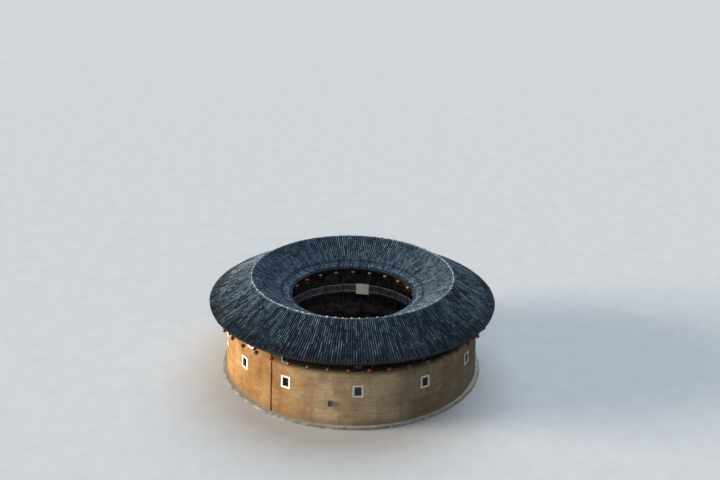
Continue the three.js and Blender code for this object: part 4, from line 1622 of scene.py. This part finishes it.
beam_spans = [along_bay(PLATE_TOP_Z - EAVE_PLATE, PLATE_TOP_Z, EAVE_PLATE)]
for z, _, _ in GALLERIES.values():
    beam_spans.append(along_bay(z - FLOOR_D, z, EDGE_BEAM))
    beam_spans.append(along_bay(z + MID_RAIL_Z[0], z + MID_RAIL_Z[1], MID_RAIL_T, offset=MID_RAIL_BACK))
print(len(beam_spans), "beams and middle rails in a bay that is", round(2 * GALLERY_HALF, 2), "m wide")

# %% Balustrades
RAIL_BOARDS = 16
BOARD_T = 0.032
BOARD_GAP = 0.006
BOARDS_Z = (0.05, 0.94)
POST_CLEAR = 0.1
edges = np.linspace(-GALLERY_HALF + POST_CLEAR, GALLERY_HALF - POST_CLEAR, RAIL_BOARDS + 1)
board_y = (GALLERY_Y - BOARD_T / 2, GALLERY_Y + BOARD_T / 2)
for storey, (z, rail_finish, board_finish) in GALLERIES.items():
    rail_spans = [
        along_bay(z + RAIL_Z[0], z + RAIL_Z[1], RAIL_T),
        along_bay(z + FOOT_RAIL_Z[0], z + FOOT_RAIL_Z[1], FOOT_RAIL_T),
    ]
    finished(carpentry("rails", rail_spans), f"{storey}_gallery_rails", rail_finish, "timber")
    board_spans = [
        (x0 + BOARD_GAP, x1 - BOARD_GAP, *board_y, z + BOARDS_Z[0], z + BOARDS_Z[1])
        for x0, x1 in pairs(edges)
    ]
    rail_boards = boards("rail_boards", board_spans, thin=0.3)
    finished(rail_boards, f"{storey}_gallery_boards", board_finish, "timber")
FRAME_NODES = [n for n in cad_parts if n.startswith("timber_frame")]
finished(carpentry("beams", beam_spans), "gallery_beams", FIR_RING, "timber", *FRAME_NODES)

# %% [markdown]
# Round posts rise from stone bases to the eave, one at each frame. A tie beam runs from each post back to
# the wall and carries the post under the ridge beam. These timbers show only a little under the inner
# eave, so they are plain members without their joints.

# %% Posts, ties and roof timbers
POST_R = 0.088
POST_SIDES = 14
POST_TAPER = 0.9
POST_FOOT_Z = 0.4203
POST_TOP_Z = PLATE_TOP_Z - 0.05
TIE_HALF = 0.075
TIE_D = 0.2
TIE_REACH_R = 14.66
KING_HALF = 0.07
KING_TOP_Z = 11.811
RIDGE_BEAM_HALF = 0.1
RIDGE_BEAM_Z = (11.711, 11.911)
post_length = POST_TOP_Z - POST_FOOT_Z
post_spot = (0, -GALLERY_R, POST_FOOT_Z + post_length / 2)
post = smoothed(rod(POST_R, post_length, POST_SIDES, post_spot, top=POST_R * POST_TAPER))
finished(copied("posts", post, places(FRAMES)), "gallery_posts", FIR_UPRIGHT, "timber")
tie_spans = [
    (-TIE_HALF, TIE_HALF, -TIE_REACH_R, -GALLERY_R, TIE_Z - TIE_D, TIE_Z),
    (-KING_HALF, KING_HALF, -RIDGE_R - KING_HALF, -RIDGE_R + KING_HALF, TIE_Z, KING_TOP_Z),
]
finished(carpentry("ties", tie_spans, FRAMES), "roof_ties", FIR_OUT, "timber")
ridge_y, ridge_half = -RIDGE_R * math.cos(BAY / 2), RIDGE_R * math.sin(BAY / 2)
ridge_beam = (-ridge_half, ridge_half, ridge_y - RIDGE_BEAM_HALF, ridge_y + RIDGE_BEAM_HALF, *RIDGE_BEAM_Z)
finished(carpentry("ridge_beam", [ridge_beam]), "ridge_beams", FIR_RING, "timber")

# %% [markdown]
# ## Fronts of the rooms
#
# Behind each gallery the rooms are closed by light timber fronts: studs and rails, upright boards, a door
# of two plank leaves and a lattice window beside it. All storeys are alike, except that the hall behind
# the gate is open on the ground. The front is drawn as a list of rectangles in its own plane, filled with
# boards one by one, because joints and shadows between boards are what shows in the dim gallery.

# %% Sizes of one bay's front
FRONT_Y = -ROOM_FRONT_R * math.cos(BAY / 2)
FRONT_HALF = ROOM_FRONT_R * math.sin(BAY / 2)
DOOR_X = (-1.05, -0.15)
DOOR_H = 1.9
LIGHT_X = (0.22, 1.02)
LIGHT_H = (1.1, 1.9)
SILL_D = 0.12
HEAD_D = 0.14
FRONT_T = 0.12
STUD_W = 0.1
CORNER_W = 0.08
CORNER_OVERLAP = 0.02
DOOR_HEAD = 0.08
LIGHT_FRAME = 0.07
OPENING_HEAD_T = 0.09
OPENING_SILL_T = 0.11
print("door and window fit between the frames of a bay,", round(2 * FRONT_HALF, 2), "m wide")

# %% Frame and boards of a front
BOARD_W = 0.16
CLADDING_T = 0.03
CLADDING_GAP = 0.003


def flat(x0, x1, z0, z1, thick, offset=0.0):
    """A member in the plane of the front; a positive offset brings it towards the yard."""
    y = FRONT_Y + offset
    return (x0, x1, y - thick / 2, y + thick / 2, z0, z1)


def front_members(z0, z1):
    """Sill, head, studs, and the frames of door and window."""
    low, high = z0 + SILL_D, z1 - HEAD_D
    light_low, light_high = z0 + LIGHT_H[0], z0 + LIGHT_H[1]
    made = [flat(-FRONT_HALF, FRONT_HALF, *levels, FRONT_T) for levels in ((z0, low), (high, z1))]
    for x in (DOOR_X[0] - STUD_W, DOOR_X[1], LIGHT_X[0] - STUD_W, LIGHT_X[1]):
        made.append(flat(x, x + STUD_W, low, high, STUD_W))
    made.append(flat(-FRONT_HALF - CORNER_OVERLAP, -FRONT_HALF + CORNER_W, low, high, FRONT_T))
    made.append(flat(FRONT_HALF - CORNER_W, FRONT_HALF + CORNER_OVERLAP, low, high, FRONT_T))
    made.append(flat(*DOOR_X, low + DOOR_H, low + DOOR_H + DOOR_HEAD, OPENING_HEAD_T))
    made.append(flat(*LIGHT_X, light_low - LIGHT_FRAME, light_low, OPENING_SILL_T))
    made.append(flat(*LIGHT_X, light_high, light_high + LIGHT_FRAME, OPENING_HEAD_T))
    return made


def front_boards(z0, z1):
    """Upright boards in every field that is neither door nor window."""
    low, high = z0 + SILL_D, z1 - HEAD_D
    fields = [
        (-FRONT_HALF + CORNER_W, DOOR_X[0] - STUD_W, low, high),
        (DOOR_X[1] + STUD_W, LIGHT_X[0] - STUD_W, low, high),
        (LIGHT_X[1] + STUD_W, FRONT_HALF - CORNER_W, low, high),
        (*DOOR_X, low + DOOR_H + DOOR_HEAD, high),
        (*LIGHT_X, low, z0 + LIGHT_H[0] - LIGHT_FRAME),
        (*LIGHT_X, z0 + LIGHT_H[1] + LIGHT_FRAME, high),
    ]
    made = []
    for x0, x1, bottom, top in fields:
        joints = np.linspace(x0, x1, max(1, round((x1 - x0) / BOARD_W)) + 1)
        made += [flat(a + CLADDING_GAP, b - CLADDING_GAP, bottom, top, CLADDING_T) for a, b in pairs(joints)]
    return made


print(len(front_members(*FLOORS_Z)), "members and", len(front_boards(*FLOORS_Z)), "boards in a front")

# %% Door and lattice of a front
DOOR_LEAVES = 2
DOOR_PLANKS = 3
LEAF_GAP = 0.002
DOOR_PLANK_T = 0.03
DOOR_PLANK_OUT = 0.01
LEDGE_HEIGHTS = (0.25, 1.5)
LEDGE_SHORT = 0.02
DOOR_LEDGE_H = 0.09
DOOR_LEDGE_T = 0.02
DOOR_LEDGE_OUT = 0.034
LATTICE_COLUMNS = 8
LATTICE_ROWS = 5
LATH_HALF = 0.012
LATH_T = 0.024
CROSS_LATH_T = 0.02
CROSS_LATH_OUT = 0.004


def front_door(z0):
    """Two leaves of three planks, each with two ledges on the gallery side."""
    low = z0 + SILL_D
    joints = np.linspace(*DOOR_X, DOOR_LEAVES * DOOR_PLANKS + 1)
    made = []
    for x0, x1 in pairs(joints):
        made.append(flat(x0 + LEAF_GAP, x1 - LEAF_GAP, low, low + DOOR_H, DOOR_PLANK_T, DOOR_PLANK_OUT))
    for x0, x1 in pairs(joints[::DOOR_PLANKS]):
        x = (x0 + LEDGE_SHORT, x1 - LEDGE_SHORT)
        for z in LEDGE_HEIGHTS:
            made.append(flat(*x, low + z, low + z + DOOR_LEDGE_H, DOOR_LEDGE_T, DOOR_LEDGE_OUT))
    return made


def front_lattice(z0):
    """Upright and level laths across the window."""
    low, high = z0 + LIGHT_H[0], z0 + LIGHT_H[1]
    uprights = np.linspace(*LIGHT_X, LATTICE_COLUMNS + 1)[1:-1]
    levels = np.linspace(low, high, LATTICE_ROWS + 1)[1:-1]
    made = [flat(x - LATH_HALF, x + LATH_HALF, low, high, LATH_T) for x in uprights]
    for z in levels:
        made.append(flat(*LIGHT_X, z - LATH_HALF, z + LATH_HALF, CROSS_LATH_T, CROSS_LATH_OUT))
    return made


print(len(front_door(0.0)), "planks and ledges in a door,", len(front_lattice(0.0)), "laths in a lattice")

# %% Fronts of all rooms
STOREYS = {
    "ground": (VERANDA_Z, FLOORS_Z[0] - FLOOR_D, np.delete(BAY_MIDDLES, BAYS // 2)),
    "second": (FLOORS_Z[0], FLOORS_Z[1] - FLOOR_D, BAY_MIDDLES),
    "third": (FLOORS_Z[1], TIE_Z - TIE_D, BAY_MIDDLES),
}
for storey, (z0, z1, azimuths) in STOREYS.items():
    members = carpentry(f"{storey}_members", front_members(z0, z1), azimuths, bevel=0.006)
    finished(members, f"{storey}_front_frames", FIR_UPRIGHT, "timber", f"{storey}_room_front")
    cladding = boards(f"{storey}_cladding", front_boards(z0, z1) + front_door(z0), azimuths, thin=0.2)
    finished(cladding, f"{storey}_front_boards", FIR_UPRIGHT, "timber")
    lattice = boards(f"{storey}_lattice", front_lattice(z0), azimuths)
    finished(lattice, f"{storey}_front_lattices", RAIL_FIR, "timber")

HALL_BEAM_D = 0.18
hall_top = FLOORS_Z[0] - FLOOR_D
hall_span = flat(-FRONT_HALF, FRONT_HALF, hall_top - HALL_BEAM_D, hall_top, FRONT_T)
finished(carpentry("hall_head", [hall_span], [GATE_AZIMUTH]), "hall_beam", FIR_RING, "timber")

# %% [markdown]
# ## Lanterns
#
# Round red lanterns hang in two rings, one under each eave, strung on the cable that feeds them. The
# cloth is dark red, with a pale highlight painted on its upper half, strong on those round the yard and
# faint on those under the outer eave, and painted shade towards the caps.

# %% Lantern cloth finish
RED_CLOTH = ((0.09, 0.004, 0.003), (0.19, 0.009, 0.006))
# Colour of the painted highlight on the upper half of the lanterns.
CLOTH_PAINTED_SHEEN = (0.66, 0.36, 0.31)


def lantern_finish(name, bleach_and_sheen):
    """Red cloth, a little glossy, with a painted highlight on its upper half and painted shade towards the
    caps.
    """
    f = Finish(name, roughness=0.3, shine=0.2)
    uneven = f.noise(f.place, scale=2.0, detail=4)
    colour = f.patched(*RED_CLOTH, uneven, (0.35, 0.0), (0.65, 1.0))
    colour = f.shaded(colour, f.attribute("tint"), (0.0, 0.55), (1.0, 1.0))
    # Painted highlight: the upper half of each lantern is paled towards a pink sheen, strongly on the inner
    # ring.
    colour = f.patched(colour, CLOTH_PAINTED_SHEEN, f.attribute("upper"), (0.52, 0.0), (0.74, bleach_and_sheen))
    # Painted shade: the cloth darkens towards the caps.
    colour = f.shaded(colour, f.attribute("belt"), (0.2, 0.15), (0.75, 1.0))
    f.bump(f.noise(f.place, scale=60), strength=0.2, distance=0.003)
    return f.done(colour)


LANTERN_CLOTH = {
    "outer": lantern_finish("cloth_faint_painted_sheen", 0.12),
    "inner": lantern_finish("cloth_painted_sheen", 0.85),
}

# %% [markdown]
# Each lantern is cloth over wire ribs, pleated between them, with gold caps and a tassel. Folds in a
# cloth simulation would be heavy to copy 68 times. A sphere whose every second meridian is drawn in has
# that pleated look with few faces. Two attributes tell the finish how high on the lantern a point is and
# how near to its belt, where it paints the highlight and the shade.

# %% One lantern
LANTERN_R = 0.285
LANTERN_H = 0.48
LANTERN_RIBS = 16
LATITUDES = 9
PLEAT = 0.93
CAP_LAP = 0.012
CAP_H = 0.04
CAP_SIDES = 10
TOP_CAP_R = 0.10
BOTTOM_CAP_R = 0.085
KNOT = (0.020, 0.06, 6)
KNOT_DROP = 0.035
TASSEL = (0.045, 0.14, 8)
TASSEL_TOP_R = 0.018
TASSEL_DROP = 0.13
WIRE_R = 0.006
WIRE_SIDES = 5
WIRE_OVER = 0.02


def lantern_body():
    """A squat ball, drawn in at every second meridian, with its top at the origin."""
    bpy.ops.object.select_all(action="DESELECT")
    bpy.ops.mesh.primitive_uv_sphere_add(segments=LANTERN_RIBS, ring_count=LATITUDES, radius=1)
    made = bpy.context.object
    points = points_of(made)
    meridian = np.round(np.arctan2(points[:, 1], points[:, 0]) / (2 * math.pi) * LANTERN_RIBS).astype(int)
    points[:, :2] *= np.where(meridian % 2 == 0, 1.0, PLEAT)[:, None]
    set_points(made, points * (LANTERN_R, LANTERN_R, LANTERN_H / 2) - (0, 0, LANTERN_H / 2))
    marked(made, "upper", (1 + points[:, 2]) / 2)
    return marked(made, "belt", np.sqrt(np.clip(1 - points[:, 2] ** 2, 0, 1)))


def lantern_trim(hanger):
    """Caps, tassel and the wire that it hangs by."""
    return joined(
        [
            rod(TOP_CAP_R, CAP_H, CAP_SIDES, (0, 0, -CAP_LAP)),
            rod(BOTTOM_CAP_R, CAP_H, CAP_SIDES, (0, 0, -LANTERN_H + CAP_LAP)),
            rod(*KNOT, (0, 0, -LANTERN_H - KNOT_DROP)),
            rod(*TASSEL, (0, 0, -LANTERN_H - TASSEL_DROP), top=TASSEL_TOP_R),
            rod(WIRE_R, hanger + WIRE_OVER, WIRE_SIDES, (0, 0, hanger / 2)),
        ]
    )


print("a lantern is", 2 * LANTERN_R, "m wide and", LANTERN_H, "m high, with", LANTERN_RIBS // 2, "pleats")

# %% Rings of lanterns
CABLE_R = 0.01
CABLE_ANGLES = np.radians(np.arange(0, 360, 60))
LANTERN_RINGS = {"outer": (46, math.radians(-0.8), 16.9, 8.2377, 0.0), "inner": (22, 0.0, 7.9, 9.463, 0.3)}
for side, (count, start, radius, cable_z, drop) in LANTERN_RINGS.items():
    where = places(start + shares(count), (0, -radius, cable_z - drop))
    bodies = copied(side, lantern_body(), where)
    finished(bodies, f"{side}_lantern_cloth", LANTERN_CLOTH[side], "lantern", f"{side}_lanterns")
    finished(copied(side, lantern_trim(drop), where), f"{side}_lantern_trim", BRASS, "lantern")
    outline = [(radius + CABLE_R * math.cos(a), cable_z + CABLE_R * math.sin(a)) for a in CABLE_ANGLES]
    cable = spun(outline, count)
    set_points(cable, points_of(cable) @ about_z(start).T)
    finished(cable, f"{side}_lantern_cable", IRON, "pipe")

# %% [markdown]
# ## Pipe, box and mat
#
# A dark red pipe runs up the wall beside a window, held by collars. It could be placed on the wall part
# by part. It is modelled upright at the origin instead, where its collars are easy to space, and then
# carried to the wall and leaned with it in one step.

# %% Pipe with collars
PIPE_AZIMUTH = math.radians(-36)
PIPE_R = 0.052
PIPE_SIDES = 16
PIPE_Z = (0.31, 8.6)
COLLARS = 5
COLLAR_H = 0.09
COLLAR_T = 0.012
COLLAR_ENDS = (0.4, 0.3)
BRACKET_HALF = 0.09
BRACKET_Z = 0.03
BRACKET_LAP = 0.01
pipe_middle = sum(PIPE_Z) / 2
pipe_y = -wall_radius(pipe_middle) - PIPE_R - COLLAR_T
pipe_length = (PIPE_Z[1] - PIPE_Z[0]) / math.cos(BATTER)
parts = [rod(PIPE_R, pipe_length, PIPE_SIDES)]
for z in np.linspace(-pipe_length / 2 + COLLAR_ENDS[0], pipe_length / 2 - COLLAR_ENDS[1], COLLARS):
    parts.append(rod(PIPE_R + COLLAR_T, COLLAR_H, PIPE_SIDES, (0, 0, z)))
    bracket_y = (PIPE_R - BRACKET_LAP, PIPE_R + COLLAR_T)
    parts.append(block((-BRACKET_HALF, BRACKET_HALF), bracket_y, (z - BRACKET_Z, z + BRACKET_Z)))
pipe = smoothed(joined(parts))
pipe_place = places(np.array([PIPE_AZIMUTH]), (0, pipe_y, pipe_middle), pitch=-BATTER)
finished(copied("pipe", pipe, pipe_place), "rain_pipe", RED_IRON, "pipe", "wall_pipe")

# %% [markdown]
# A steel box with a rim and louvres hangs on the front of the wall. It is so small from afar that only
# its dark louvres in the paler rim tell what it is, so both are real blocks, and neither is painted on.

# %% Box with a rim and louvres
BOX_AZIMUTH = math.radians(-8.5)
BOX_HALF = 0.24
BOX_Z = (2.73, 3.41)
BOX_OUT = 0.2
BOX_D = 0.26
BOX_FRONT = -wall_radius(BOX_Z[0]) - BOX_OUT
BOX_BACK = BOX_FRONT + BOX_D
BOX_INSET = 0.02
RIM_W = 0.03
LOUVRES = 7
LOUVRE_ENDS = (0.12, 0.14)
LOUVRE_HALF = BOX_HALF - 0.05
LOUVRE_Y = (BOX_FRONT + 0.006, BOX_FRONT + 0.03)
LOUVRE_H = 0.035
GALVANISED = metal_finish("dull_zinc", (0.06, 0.062, 0.07), (0.15, 0.155, 0.17), 0.5, 0.3)
body_x = (-BOX_HALF + BOX_INSET, BOX_HALF - BOX_INSET)
body = [(*body_x, BOX_FRONT + BOX_INSET, BOX_BACK, BOX_Z[0] + BOX_INSET, BOX_Z[1] - BOX_INSET)]
for z in np.linspace(BOX_Z[0] + LOUVRE_ENDS[0], BOX_Z[1] - LOUVRE_ENDS[1], LOUVRES):
    body.append((-LOUVRE_HALF, LOUVRE_HALF, *LOUVRE_Y, z, z + LOUVRE_H))
finished(carpentry("box", body, [BOX_AZIMUTH], bevel=0.006), "box_body", IRON, "pipe", "wall_box")
rim = [
    (-BOX_HALF, -BOX_HALF + RIM_W, BOX_FRONT, BOX_BACK, *BOX_Z),
    (BOX_HALF - RIM_W, BOX_HALF, BOX_FRONT, BOX_BACK, *BOX_Z),
    (-BOX_HALF, BOX_HALF, BOX_FRONT, BOX_BACK, BOX_Z[1] - RIM_W, BOX_Z[1]),
    (-BOX_HALF, BOX_HALF, BOX_FRONT, BOX_BACK, BOX_Z[0], BOX_Z[0] + RIM_W),
]
finished(carpentry("rim", rim, [BOX_AZIMUTH], bevel=0.004), "box_rim", GALVANISED, "pipe")

# %% [markdown]
# Over the rail of the third storey hangs a pale mat of woven bamboo strips. It is stiff enough to hang
# flat, so it needs no cloth simulation. It is made of slats side by side, with a batten along the top,
# along the bottom and between, and a strip over the rail on either side of the post.

# %% Woven mat finish
PALE_BAMBOO = ((0.35, (0.90, 0.77, 0.61)), (0.65, (0.99, 0.86, 0.69)))
WEAVE = {
    "Scale": 1.0,
    "Brick Width": 0.14,
    "Row Height": 0.035,
    "Mortar Size": 0.003,
    "Color1": (0.90, 0.90, 0.90, 1),
    "Color2": (1, 1, 1, 1),
    "Mortar": (0.56, 0.49, 0.39, 1),
}


def bamboo_finish():
    """Flat strips woven over and under one another, 35 mm wide."""
    f = Finish("woven_bamboo", roughness=0.7)
    x, _, z = f.axes(f.place)
    strips = f.rows(f.vector(x, z), WEAVE)
    colour = f.ramp(f.noise(f.place, scale=2.2, detail=4), *PALE_BAMBOO)
    colour = f.times(colour, strips["Color"])
    f.grooves(strips, strength=0.5, distance=0.006)
    f.bump(f.noise(f.stretched(f.place, 3, 3, 60), scale=1.0), strength=0.3, distance=0.003)
    return f.done(colour)


# %% Woven mat
MAT_AZIMUTH = math.radians(171)
MAT_FRAME = 10
MAT_HALF = 0.85
MAT_Y = (-8.338, -8.318)
MAT_Z = (5.6, 7.1)
MAT_SLATS = 12
SLAT_GAP = 0.004
BATTEN_H = 0.04
BATTEN_OVER = 0.01
BATTEN_Y = (MAT_Y[1] - 0.006, MAT_Y[1] + 0.014)
FLAP_RISE = (0.004, 0.022)
FLAP_CLEAR = 0.1
rail_top = FLOORS_Z[1] + RAIL_H
post_x = GALLERY_R * math.sin(FRAMES[MAT_FRAME] - MAT_AZIMUTH)
slats = pairs(np.linspace(*MAT_Z, MAT_SLATS + 1))
mat_spans = [(-MAT_HALF, MAT_HALF, *MAT_Y, low, high - SLAT_GAP) for low, high in slats]
for z in (MAT_Z[0], (rail_top + MAT_Z[0]) / 2, MAT_Z[1] - BATTEN_H):
    mat_spans.append((-MAT_HALF - BATTEN_OVER, MAT_HALF + BATTEN_OVER, *BATTEN_Y, z, z + BATTEN_H))
for x0, x1 in ((-MAT_HALF, post_x - FLAP_CLEAR), (post_x + FLAP_CLEAR, MAT_HALF)):
    mat_spans.append((x0, x1, -GALLERY_R, MAT_Y[0], rail_top + FLAP_RISE[0], rail_top + FLAP_RISE[1]))
mat = carpentry("mat", mat_spans, [MAT_AZIMUTH], bevel=0.003)
finished(mat, "woven_mat", bamboo_finish(), "mat", "rail_mat")
